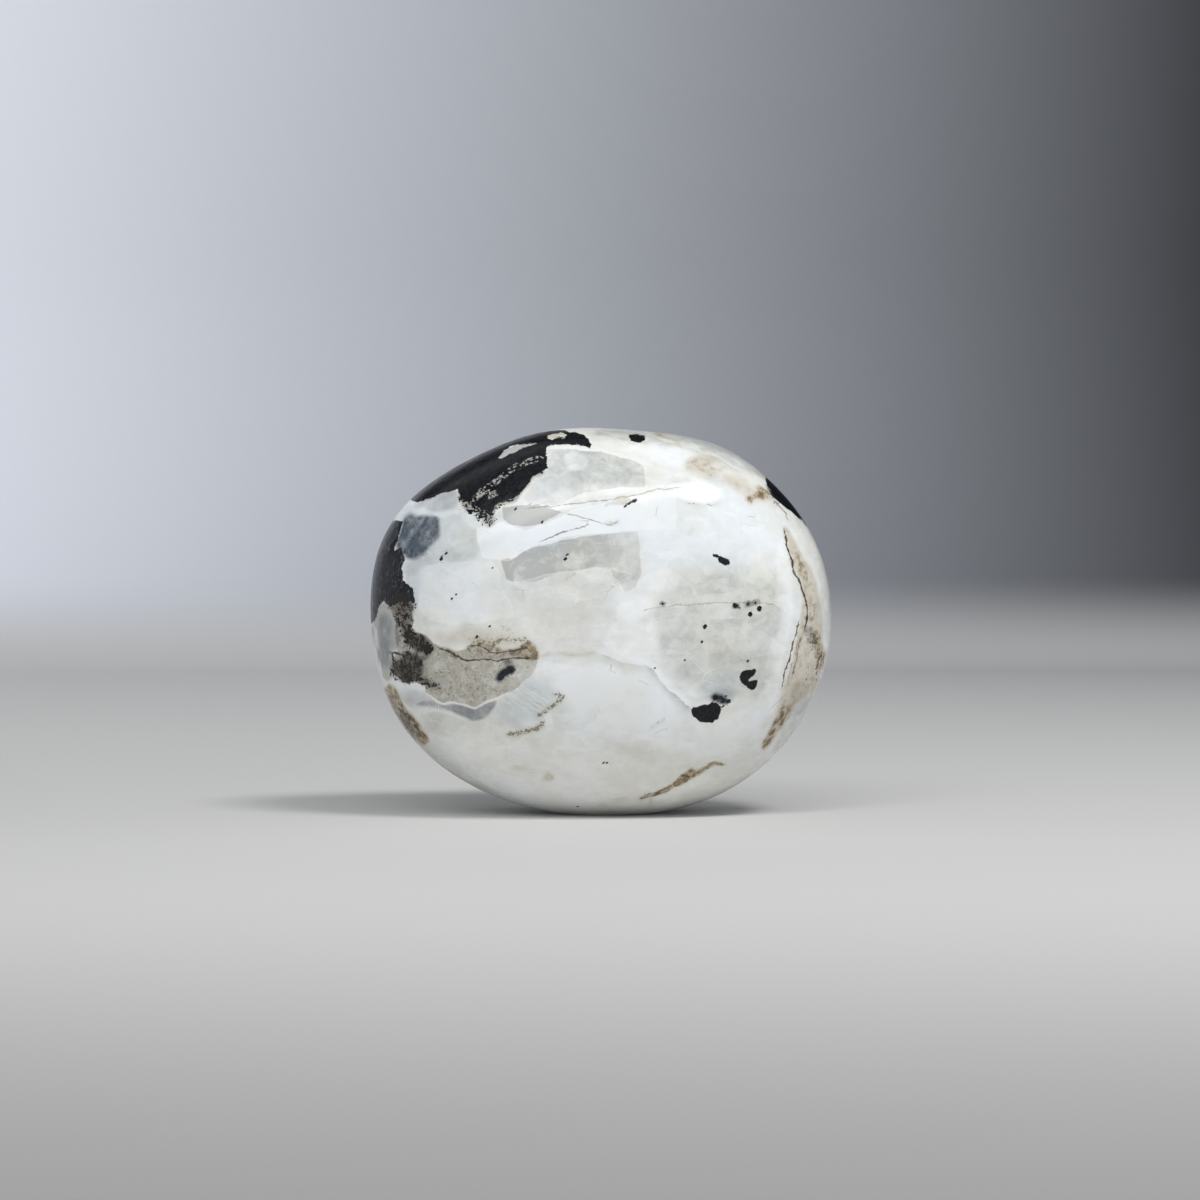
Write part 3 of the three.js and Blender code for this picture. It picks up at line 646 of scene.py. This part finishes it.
dark_b, dark_b_here = line_field([
    ([(23.8, 23.3), (23.4, 21.4), (22.9, 19.9), (22.5, 18.4), (21.9, 16.5), (21.7, 14.4)], 0.7),
    ([(24.3, 21.6), (23.7, 19.9), (23.4, 18.4), (23.1, 16.9), (22.7, 15.6)], 0.45),
    ([(-16.2, 19.9), (-14.5, 20.0), (-13.1, 19.1), (-10.5, 19.4), (-8.8, 19.8), (-7.7, 18.7)], 0.75),
    ([(-7.7, 32.3), (-4.9, 33.4), (-2.5, 34.2), (-0.6, 34.9)], 0.4),
    ([(-4.9, 35.9), (-2.5, 35.4), (-0.6, 34.9), (0.9, 34.4), (2.2, 34.7)], 0.35),
    ([(4.9, 2.1), (6.8, 2.4), (8.4, 3.2), (9.3, 3.9)], 0.5),
    ([(19.9, 38.0), (21.0, 37.0), (22.2, 35.8), (22.6, 34.6)], 0.4),
], [([(12.0, 38.0), (13.0, 33.0), (11.0, 29.0), (12.5, 24.5), (10.5, 21.0)], 0.35)])
pale, pale_here = line_field([
    ([(-20.9, 14.4), (-20.0, 13.6), (-18.9, 13.0), (-17.4, 13.1),
      (-16.0, 12.8), (-14.9, 12.4), (-13.6, 13.3), (-12.3, 13.7), (-10.9, 14.3)], 1.0),
    ([(-10.5, 27.5), (-7.3, 28.2), (-4.9, 28.8), (-2.7, 28.9), (-0.2, 29.4), (1.5, 29.2), (3.7, 28.6)],
     0.5),
    ([(12.3, 10.6), (12.4, 9.6), (12.2, 8.4)], 1.0),
    ([(-21.5, 11.9), (-19.6, 12.3), (-17.5, 11.6), (-15.8, 10.7)], 0.7),
    ([(-6.3, 43.6), (-3.0, 43.6), (0.5, 43.3), (4.0, 42.2), (6.5, 41.5)], 0.9),
    ([(6.0, 45.2), (10.0, 43.9), (14.0, 42.6), (17.0, 40.8)], 0.5),
])
feather, feather_here = line_field([
    ([(11.2, 12.3), (9.7, 13.3), (8.4, 14.6), (7.1, 15.8), (6.2, 17.1), (5.2, 17.7)], 1.0),
    ([(7.1, 15.8), (6.2, 17.1), (5.4, 17.6), (2.6, 18.0), (-0.6, 19.3)], 0.45),
], half_width=3.0)

# The polish follows hard and soft grains by a few hundredths of a millimetre, and leaves pits where grains
# of tourmaline broke out
relief = 0.02 * drift(points, 4.0, 4) + 0.008 * drift(points, 1.6, 5)
relief += 0.04 * mixed * drift(points, 0.55, 6)
relief += 0.012 * eased(tourmaline, 0.4) * drift(points, 0.7, 7)
relief -= 0.06 * dark_a_here * np.exp(-(dark_a / 0.25) ** 2)
relief[on_foot] = 0.0
points += ways * relief[:, None]

# How far a point is from the oval's middle, and how far round it: the grain of the veins on the rim
# follows it. The count starts at the foot
outward = np.hypot(points[:, 0], points[:, 2] - HEIGHT / 2)
around = np.arctan2(points[:, 0], points[:, 2] - HEIGHT / 2) * LENGTH / 2

MARKINGS = {"tourmaline": tourmaline, "mixed": mixed, "granular": granular, "browner": browner,
            "stain": stain, "pane": pane, "pane_strength": pane_strength, "bright_and_painted_sheen": bright_and_painted_sheen,
            "bright_and_painted_sheen_strength": bright_and_painted_sheen_strength, "cloudy": cloudy, "milky_and_painted_bounce": milky_and_painted_bounce, "smoky": smoky,
            "dusky": dusky, "moss": moss, "painted_blue_sheen": painted_blue_sheen, "twinned": twinned, "dark_a": dark_a,
            "dark_a_here": dark_a_here, "dark_b": dark_b, "dark_b_here": dark_b_here, "pale": pale,
            "pale_here": pale_here, "feather": feather, "feather_here": feather_here, "outward": outward,
            "around": around}
stone_mesh = bpy.data.meshes.new("moonstone")
stone_mesh.from_pydata((points * MM).tolist(), [], faces.tolist())
stone_mesh.polygons.foreach_set("use_smooth", np.ones(len(faces), bool))
for name, values in MARKINGS.items():
    attribute = stone_mesh.attributes.new(name, "FLOAT", "POINT")
    attribute.data.foreach_set("value", values.astype(np.float32))
stone_mesh.update()
stone = bpy.data.objects.new("moonstone", stone_mesh)
scene.collection.objects.link(stone)


# The material: moonstone, a feldspar that is milky because of thin layers inside it, polished to a
# glassy face. Light goes a millimetre or two into it, so its shadows are soft.
def linear(colour):
    """An sRGB hex value as linear red, green, blue and alpha."""
    srgb = [int(colour[i:i + 2], 16) / 255 for i in (1, 3, 5)]
    return [c / 12.92 if c <= 0.04045 else ((c + 0.055) / 1.055) ** 2.4 for c in srgb] + [1.0]


moonstone = bpy.data.materials.new("polished moonstone with tourmaline")
moonstone.use_nodes = True
moonstone.node_tree.nodes.clear()


def add(kind, inputs=(), output=None, tree=moonstone.node_tree, **settings):
    """Adds one shader node with its settings and links, and gives back the output of that name, or its first
    one. Inputs are values or other nodes' outputs: a list in the node's own order, or a dict by name."""
    node = tree.nodes.new("ShaderNode" + kind)
    for name, value in settings.items():
        setattr(node, name, value)
    by_name = isinstance(inputs, dict)
    sockets = node.inputs if by_name else [s for s in node.inputs if s.enabled]
    for key, value in inputs.items() if by_name else enumerate(inputs):
        if isinstance(value, bpy.types.NodeSocket):
            tree.links.new(value, sockets[key])
        else:
            sockets[key].default_value = value
    return node.outputs[output] if output else next((s for s in node.outputs if s.enabled), node)


# Places in the rock in millimetres, and the same places stirred a little, for edges that wander
place = add("VectorMath", [add("TexCoord", output="Object"), 1 / MM], operation="SCALE")
stir = add("TexNoise", {"Vector": place, "Scale": 1 / 1.3, "Detail": 3.0}, "Color")
stir = add("VectorMath", [stir, (0.5, 0.5, 0.5)], operation="SUBTRACT")
stirred = add("VectorMath", [stir, (1.6, 1.6, 1.6), place], operation="MULTIPLY_ADD")
barely_stirred = add("VectorMath", [stir, (0.5, 0.5, 0.5), place], operation="MULTIPLY_ADD")
marking = {name: add("Attribute", output="Fac", attribute_name=name) for name in MARKINGS}
place_x, place_y = (add("SeparateXYZ", [place], axis) for axis in "XY")
round_rim = add("Math", [marking["around"], 0.3], operation="MULTIPLY")
along_rim = add("CombineXYZ", [marking["outward"], round_rim, place_y])
veils = add("Mapping", {"Vector": stirred, "Rotation": (0.3, 0.5, 0.2), "Scale": (0.6, 1.0, 1.5)})
layers = add("Mapping", {"Vector": stirred, "Rotation": (0.0, 0.6, 0.0), "Scale": (0.25, 0.5, 2.6)})
fan = add("Mapping", {"Vector": barely_stirred, "Rotation": (0.0, 0.59, 0.0), "Scale": (6.0, 3.0, 0.3)},
          vector_type="TEXTURE")

# Cloudy noise from 0 to 1: where it is looked up, the size of its features in mm, detail and roughness
NOISES = {"fine": (place, 0.45, 3.0, 0.6), "streaks": (along_rim, 0.5, 4.0, 0.65),
          "mottle": (stirred, 0.8, 5.0, 0.65), "cloud": (stirred, 7.0, 5.0, 0.6),
          "warmth": (place, 9.0, 3.0, 0.6), "lamellae": (layers, 1.0, 4.0, 0.65),
          "twins": (fan, 1.0, 3.0, 0.6), "sugar": (place, 0.3, 2.0, 0.7),
          "curds": (stirred, 1.5, 4.0, 0.6), "pane": (stirred, 3.2, 4.0, 0.6),
          "cloudy": (stirred, 2.5, 4.0, 0.6), "milky_and_painted_bounce": (stirred, 1.8, 4.0, 0.6),
          "healed": (place, 4.0, 2.0, 0.6), "rusty": (place, 3.1, 3.0, 0.6),
          "smoke": (place, 1.6, 5.0, 0.6), "smut": (stirred, 1.1, 5.0, 0.65),
          "moss": (stirred, 0.3, 3.0, 0.6), "fleck": (along_rim, 0.16, 2.0, 0.6),
          "pits": (place, 0.3, 4.0, 0.7), "gloss": (place, 0.9, 4.0, 0.6)}
noise = {name: add("TexNoise", {"Vector": where, "Scale": 1 / size, "Detail": detail, "Roughness": rough})
         for name, (where, size, detail, rough) in NOISES.items()}
veil = add("TexNoise", {"Vector": veils, "Scale": 1 / 2.6, "Detail": 5.0, "Roughness": 0.6,
                        "Distortion": 1.2})
fine = add("Math", [noise["fine"], 0.5], operation="SUBTRACT")
clots = add("Mix", [0.7, noise["streaks"], noise["mottle"]])

# Cleavage blocks 4 to 7 mm across with faint edges, and grains a quarter of a millimetre across
block_place = add("Mapping", {"Vector": barely_stirred, "Rotation": (0.5, 0.3, 0.6),
                              "Scale": (0.15, 0.21, 0.3)})
block = add("TexVoronoi", {"Vector": block_place, "Scale": 1.0}, "Color")
block = add("SeparateColor", [block], "Red")
block_edge = add("TexVoronoi", {"Vector": block_place, "Scale": 1.0}, "Distance", feature="DISTANCE_TO_EDGE")
grains = add("TexVoronoi", {"Vector": stirred, "Scale": 1 / 0.26}, "Color")
grain, second_grain = (add("SeparateColor", [grains], channel) for channel in ("Red", "Green"))

# How far inside each crisp marking, from 0 to 1: fine noise nibbles the distance by so much, and the edge is
# a smooth step of so many mm to each side
CRISP = {"pane": (0.3, 0.08), "bright_and_painted_sheen": (0.4, 0.1), "granular": (0.5, 0.08), "tourmaline": (0.5, 0.05)}
inside = {}
for name, (nibble, edge) in CRISP.items():
    distance = add("Math", [fine, nibble, marking[name]], operation="MULTIPLY_ADD")
    inside[name] = add("MapRange", [distance, -edge, edge], interpolation_type="SMOOTHSTEP")

# Milky feldspar: it is greyer where it is clear, in clouds, blocks, thin layers, panes and cloudy patches,
# and whiter, with a weight below 0, in veils, bright blocks and milky patches. The band across the upper face
# is also a painted sheen, the milky patches low on the face are also painted light from below, and beside the
# feather's step there is a painted highlight on one side and painted shade on the other. Two amounts, and the
# weight of both together. The sum starts below 0, because each of the noises is about a half all over
in_pane = add("Math", [inside["pane"], marking["pane_strength"]], operation="MULTIPLY")
# The feather's step: a thin painted highlight just to one side of it, and painted shade that deepens over
# about a millimetre towards it on the other side
step = add("Math", [fine, 0.5, marking["feather"]], operation="MULTIPLY_ADD")
painted_step_highlight = add("Math", [add("MapRange", [step, 0.9, 0.0]), add("MapRange", [step, -0.05, 0.08])],
                 operation="MULTIPLY")
painted_step_shade = add("Math", [add("MapRange", [step, -1.4, -0.1]), add("MapRange", [step, 0.08, -0.05])],
                operation="MULTIPLY")
GREY_PARTS = [(noise["cloud"], 1.0, 0.6), (block, 1.0, 0.16), (noise["lamellae"], 1.0, 0.22),
              (noise["sugar"], 1.0, 0.14), (noise["curds"], 1.0, 0.5),
              (in_pane, add("MapRange", [noise["pane"], 0.35, 0.65, 1.25, 0.45]), 1.0),
              (marking["cloudy"], add("MapRange", [noise["cloudy"], 0.3, 0.7, 1.35, 0.55]), 1.0),
              (painted_step_shade, marking["feather_here"], 0.45), (painted_step_highlight, marking["feather_here"], -0.5),
              (add("MapRange", [noise["twins"], 0.0, 1.0, -0.5, 0.5]), marking["twinned"], 1.4),
              (inside["bright_and_painted_sheen"], marking["bright_and_painted_sheen_strength"], -0.5),
              (marking["milky_and_painted_bounce"], add("MapRange", [noise["milky_and_painted_bounce"], 0.3, 0.6, 0.5, 1.1]), -0.35),
              (add("MapRange", [veil, 0.52, 0.72]), 1.0, -0.2)]
START_GREYNESS = -0.39
greyness = START_GREYNESS
for first, second, weight in GREY_PARTS:
    both = add("Math", [first, second], operation="MULTIPLY")
    greyness = add("Math", [both, weight, greyness], operation="MULTIPLY_ADD")


def colour_ramp(amount, stops):
    """The tone for an amount, from stops that are each a position and an sRGB hex value."""
    tones = add("ValToRGB", [amount])
    elements = tones.node.color_ramp.elements
    elements.remove(elements[1])
    for index, (position, tone) in enumerate(stops):
        stop = elements[0] if index == 0 else elements.new(position)
        stop.position = position
        stop.color = linear(tone)
    return tones


# Where a tone depends on one amount only, the other is 1. An amount that is a share already stays as it is
EVERYWHERE = (1.0, 0.0, 1.0)
AS_IT_IS = (0.0, 2.0, 0.0, 2.0)


def laid_over(colour, tones):
    """Lays tones over a colour. Each has two amounts, each with the range that it is taken from and to: their
    product, times a strength, is the share of the tone."""
    for (first, *first_range), (second, *second_range), strength, tone in tones:
        share = add("MapRange", [first, *first_range])
        for factor in (add("MapRange", [second, *second_range]), strength):
            share = add("Math", [share, factor], operation="MULTIPLY")
        colour = add("Mix", [share, colour, linear(tone)], data_type="RGBA")
    return colour


colour = colour_ramp(greyness, ((0.0, "#f8fafb"), (0.3, "#eef0f0"), (0.6, "#dfe1df"), (1.0, "#bec0bd")))
warm_share = add("MapRange", [noise["warmth"], 0.4, 0.6, 0.1, 0.45])
# A warm tint that wanders at random, and the painted blue sheen, multiplied into the colour
for share, cast in ((warm_share, "#f4efe0"), (marking["painted_blue_sheen"], "#f2f6fb")):
    colour = add("Mix", [share, colour, linear(cast)], data_type="RGBA", blend_type="MULTIPLY")
# The edges of the blocks show as thin white lines, and a few as brown ones. Smoky and lilac feldspar is
# mottled. Iron stain is tan all over, and brown in clots
colour = laid_over(colour, [
    ((block_edge, 0.016, 0.003), (noise["healed"], 0.56, 0.66), 0.45, "#f6f7f6"),
    ((block_edge, 0.01, 0.003), (noise["rusty"], 0.6, 0.66), 0.45, "#9a8a70"),
    ((noise["smoke"], 0.3, 0.6, 0.6, 1.0), (marking["smoky"], *AS_IT_IS), 1.0, "#525c67"),
    ((noise["smut"], 0.5, 0.62), (marking["smoky"], 0.9, 1.1), 0.75, "#343a41"),
    ((clots, 0.3, 0.52, 0.6, 1.0), (marking["stain"], *AS_IT_IS), 1.0, "#b5a483"),
    ((noise["mottle"], 0.52, 0.62), (marking["stain"], 0.25, 0.6), 0.5, "#9c8763"),
    ((clots, 0.44, 0.66), (marking["stain"], 0.5, 1.0), 0.65, "#776753"),
])

# The granular ground: beige grains, with a few rusty and dark ones, and iron stain over it
lightness = add("Math", [grain, 0.4], operation="MULTIPLY")
lightness = add("Math", [clots, 0.6, lightness], operation="MULTIPLY_ADD")
beige = colour_ramp(lightness, ((0.0, "#86827a"), (0.3, "#aaa79a"), (0.55, "#bbb8ad"), (0.8, "#cdcac0"),
                                (1.0, "#dddbd2")))
rusty_grain = add("Math", [second_grain, 0.96], operation="GREATER_THAN")
beige = laid_over(beige, [((rusty_grain, *AS_IT_IS), EVERYWHERE, 0.6, "#8a7355"),
                          ((marking["browner"], *AS_IT_IS), (clots, 0.35, 0.6, 0.3, 0.85), 1.0, "#4a453d")])
for thinned in (add("MapRange", [noise["curds"], 0.34, 0.5, 0.55, 1.0]),
                add("MapRange", [place_x, -11.5, -8.0, 1.0, 0.6])):
    inside["granular"] = add("Math", [inside["granular"], thinned], operation="MULTIPLY")
colour = add("Mix", [inside["granular"], colour, beige], data_type="RGBA")
pale_gap = add("Math", [fine, 0.35, marking["pale"]], operation="MULTIPLY_ADD")
pale_gap = add("Math", [pale_gap], operation="ABSOLUTE")
colour = laid_over(colour, [
    ((clots, 0.46, 0.6), (marking["stain"], 0.5, 0.9), 0.8, "#5f4b39"),
    # Healed cracks are pale
    ((pale_gap, 0.2, 0.08), (marking["pale_here"], *AS_IT_IS), 0.8, "#efeee8"),
])

# Open cracks are wide and nearly black at full strength, and brown hairs when weak
for name in ("dark_a", "dark_b"):
    here = marking[name + "_here"]
    gap = add("Math", [fine, 0.4, marking[name]], operation="MULTIPLY_ADD")
    gap = add("Math", [gap], operation="ABSOLUTE")
    width = add("Math", [add("MapRange", [clots, 0.36, 0.64, 0.03, 0.24]),
                         add("MapRange", [here, 0.0, 1.0, 0.35, 1.0])], operation="MULTIPLY")
    line = add("MapRange", [add("Math", [gap, width], operation="DIVIDE"), 1.0, 0.45])
    line = add("Math", [line, add("MapRange", [here, 0.0, 0.5, 0.0, 0.95])], operation="MULTIPLY")
    tone = add("Mix", [add("MapRange", [here, 0.3, 0.9]), linear("#8f7f69"), linear("#382f27")],
               data_type="RGBA")
    colour = add("Mix", [line, colour, tone], data_type="RGBA")

# Olive grains along hair cracks
mossy = add("Math", [marking["moss"], 0.3, noise["moss"]], operation="MULTIPLY_ADD")
colour = laid_over(colour, [
    ((marking["moss"], *AS_IT_IS), EVERYWHERE, 0.3, "#a89f80"),
    ((mossy, 0.7, 0.82), (marking["moss"], 0.05, 0.2), 0.8, "#6c6347"),
])

# Mixed grains, and dark smudges: browner beside the brown column
between = add("Mix", [marking["browner"], linear("#97948c"), linear("#7b7367")], data_type="RGBA")
colour = add("Mix", [add("MapRange", [marking["mixed"], 0.1, 0.55, 0.0, 0.85]), colour, between],
             data_type="RGBA")
dust = add("Math", [noise["mottle"], marking["dusky"]], operation="ADD")
dust = add("Math", [add("MapRange", [dust, 0.6, 1.2]), add("MapRange", [marking["dusky"], 0.0, 0.3])],
           operation="MULTIPLY")
dust_tone = add("Mix", [marking["browner"], linear("#22262f"), linear("#2f2a25")], data_type="RGBA")
colour = add("Mix", [dust, colour, dust_tone], data_type="RGBA")
grain_share = add("Math", [noise["mottle"], 0.5], operation="SUBTRACT")
grain_share = add("Math", [grain_share, 2.2, marking["mixed"]], operation="MULTIPLY_ADD")
grain_share = add("Math", [grain_share, add("MapRange", [marking["mixed"], 0.02, 0.1])], operation="MULTIPLY")
dark_grain = add("Math", [grain, grain_share], operation="LESS_THAN")
black = add("Math", [inside["tourmaline"], dark_grain], operation="MAXIMUM")

# Black tourmaline, with grey flecks where its fibres come up at the left rim
fleck = add("MapRange", [noise["fleck"], 0.54, 0.66])
for thinned in (add("MapRange", [noise["streaks"], 0.44, 0.58]),
                add("MapRange", [place_x, -20.0, -22.5, 0.1])):
    fleck = add("Math", [fleck, thinned], operation="MULTIPLY")
schorl = linear("#050609")
for share, tone in ((add("MapRange", [noise["pits"], 0.45, 0.7]), "#1c1e25"), (fleck, "#6a6c72"),
                    (marking["browner"], "#26221e")):
    schorl = add("Mix", [share, schorl, linear(tone)], data_type="RGBA")
colour = add("Mix", [black, colour, schorl], data_type="RGBA")

# The polish: glassy feldspar, tourmaline a little duller, and grains that stand up by hundredths of a mm
roughness = add("MapRange", [noise["gloss"], 0.3, 0.7, 0.1, 0.2])
roughness = add("Mix", [black, roughness, add("MapRange", [noise["streaks"], 0.3, 0.7, 0.2, 0.4])])
roughness = add("Mix", [inside["granular"], roughness, 0.34])
height = 0.0
for first, second, weight in ((grain, add("MapRange", [marking["mixed"], 0.0, 0.4]), 0.4), (fine, 1.0, 0.2),
                              (noise["curds"], 1.0, 0.6), (noise["pits"], inside["tourmaline"], 0.8)):
    both = add("Math", [first, second], operation="MULTIPLY")
    height = add("Math", [both, weight, height], operation="MULTIPLY_ADD")
bump = add("Bump", {"Strength": 0.5, "Distance": 0.03 * MM, "Height": height}, "Normal")
depth_of_light = add("Math", [black, -0.4, 0.4], operation="MULTIPLY_ADD")
skin = add("BsdfPrincipled", {"Base Color": colour, "Roughness": roughness, "Normal": bump, "IOR": 1.52,
                              "Specular IOR Level": 0.27, "Subsurface Weight": depth_of_light,
                              "Subsurface Radius": (1.0, 0.95, 0.85), "Subsurface Scale": 1.5 * MM})
add("OutputMaterial", [skin])

stone_mesh.materials.append(moonstone)
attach(stone, "root")
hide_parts("palm_stone")


# The stage: a pale floor that curves up behind the stone into a plain backdrop, in one sheet
FLOOR_HALF_WIDTH, FLOOR_FRONT, FLOOR_BACK, BEND_RADIUS, WALL_TOP = 1.2, -0.75, 0.45, 0.12, 0.9
bend = np.linspace(0, math.pi / 2, 24)
curve_y = FLOOR_BACK + BEND_RADIUS * np.sin(bend)
sweep_y = np.concatenate([[FLOOR_FRONT], curve_y, [FLOOR_BACK + BEND_RADIUS]])
sweep_z = np.concatenate([[0.0], BEND_RADIUS * (1 - np.cos(bend)), [WALL_TOP]])
side_x = np.array([-FLOOR_HALF_WIDTH, FLOOR_HALF_WIDTH])
sheet = np.stack([np.tile(side_x, len(sweep_y)), np.repeat(sweep_y, 2), np.repeat(sweep_z, 2)], 1)
corner = np.arange(len(sweep_y) - 1) * 2
strips = np.stack([corner, corner + 1, corner + 3, corner + 2], 1)
stage_mesh = bpy.data.meshes.new("floor")
stage_mesh.from_pydata(sheet.tolist(), [], strips.tolist())
stage_mesh.polygons.foreach_set("use_smooth", np.ones(len(strips), bool))
floor = bpy.data.objects.new("floor", stage_mesh)
scene.collection.objects.link(floor)
# The paper is matt: it takes soft shadows and mirrors nothing. Its tone is painted light and shade: it is
# darker in front and pale from just in front of the stone, and behind the stone it is painted paler to the
# left and darker to the right and high up, as if lit from the left
paper = bpy.data.materials.new("matt paper with painted light falloff")
paper.use_nodes = True
sheet_tree = paper.node_tree
sheet_tree.nodes.clear()
on_sheet = add("TexCoord", output="Object", tree=sheet_tree)
sheet_x, sheet_y, sheet_z = (add("SeparateXYZ", [on_sheet], axis, sheet_tree) for axis in "XYZ")
floor_share = add("MapRange", [sheet_y, -0.26, -0.08], tree=sheet_tree, interpolation_type="SMOOTHSTEP")
floor_tone = add("Mix", [floor_share, linear("#9c9b9a"), linear("#d2d1cf")], tree=sheet_tree,
                 data_type="RGBA")
# Behind the stone, painted light falloff: pale on the left, painted shade on the right and high up
right_share = add("MapRange", [sheet_x, -0.18, 0.21], tree=sheet_tree)
wall_tone = add("Mix", [right_share, linear("#e8ebf2"), linear("#232528")], tree=sheet_tree,
                data_type="RGBA")
high_share = add("MapRange", [sheet_z, 0.24, 0.44], tree=sheet_tree)
wall_tone = add("Mix", [high_share, wall_tone, linear("#2c2e31")], tree=sheet_tree, data_type="RGBA")
wall_share = add("MapRange", [sheet_z, 0.001, 0.025], tree=sheet_tree, interpolation_type="SMOOTHSTEP")
sheet_tone = add("Mix", [wall_share, floor_tone, wall_tone], tree=sheet_tree, data_type="RGBA")
matt = add("BsdfDiffuse", [sheet_tone], tree=sheet_tree)
add("OutputMaterial", [matt], tree=sheet_tree)
stage_mesh.materials.append(paper)

# The light: a soft window high on the right, a long low one that runs on from it to the left, which gives the
# bright band across the face together with the sheen painted into the stone's colour there, and a pale room
# that is brighter at eye level than overhead
world = bpy.data.worlds.new("pale room")
world.use_nodes = True
room = world.node_tree
room.nodes.clear()
way_up = add("SeparateXYZ", [add("TexCoord", output="Generated", tree=room)], "Z", room)
glow = add("MapRange", [way_up, 0.15, 0.8, 1.05, 0.4], tree=room)
pale_air = add("Background", [linear("#d0d4da"), glow], tree=room)
add("OutputWorld", [pale_air], tree=room)
scene.world = world
STONE_MIDDLE = Vector((0.0, 0.0, HEIGHT / 2 * MM))
WINDOW_RUNS = Vector((0.96, 0.30, 0.35))
# Name, where it shines on, direction from there, distance, size and radiance
LIGHTS = [("window", STONE_MIDDLE, (0.42, -0.40, 0.82), 0.55, (0.19, 0.13), 22.5),
          ("long window", STONE_MIDDLE, (-0.15, -0.62, 0.77), 0.55, (0.6, 0.11), 6.0),
          ("backdrop wash", Vector((-0.2, 0.57, 0.15)), (-0.1, -0.8, 0.55), 0.45, (0.4, 0.4), 1.15)]
for name, target, towards, distance, size, radiance in LIGHTS:
    lamp = bpy.data.lights.new(name, "AREA")
    lamp.shape = "ELLIPSE"
    lamp.size, lamp.size_y = size
    # Watts for a given radiance: an area light spreads its power over its area and over pi steradians
    lamp.energy = radiance * math.pi * math.pi / 4 * size[0] * size[1]
    holder = bpy.data.objects.new(name, lamp)
    way = Vector(towards).normalized()
    level = (WINDOW_RUNS - way * WINDOW_RUNS.dot(way)).normalized()
    turned = Matrix((level, way.cross(level), way)).transposed()
    holder.matrix_world = Matrix.Translation(target + way * distance) @ turned.to_4x4()
    scene.collection.objects.link(holder)

# The camera: 38 cm away and hardly above the stone's middle, so that it looks almost level
PICTURE_PIXELS = 1200
PIXELS_PER_MM = 8.36
LOOKS_DOWN_PIXELS = 50
focal_pixels = PIXELS_PER_MM * -EYE[1]
camera = bpy.data.cameras.new("camera")
camera.sensor_width = 36.0
camera.lens = camera.sensor_width * focal_pixels / PICTURE_PIXELS
camera.clip_start = 0.01
viewer = bpy.data.objects.new("camera", camera)
viewer.location = np.array(EYE) * MM
viewer.rotation_euler = (math.pi / 2 - math.atan(LOOKS_DOWN_PIXELS / focal_pixels), 0.0, 0.0)
scene.collection.objects.link(viewer)
scene.camera = viewer
scene.view_settings.view_transform = "Standard"
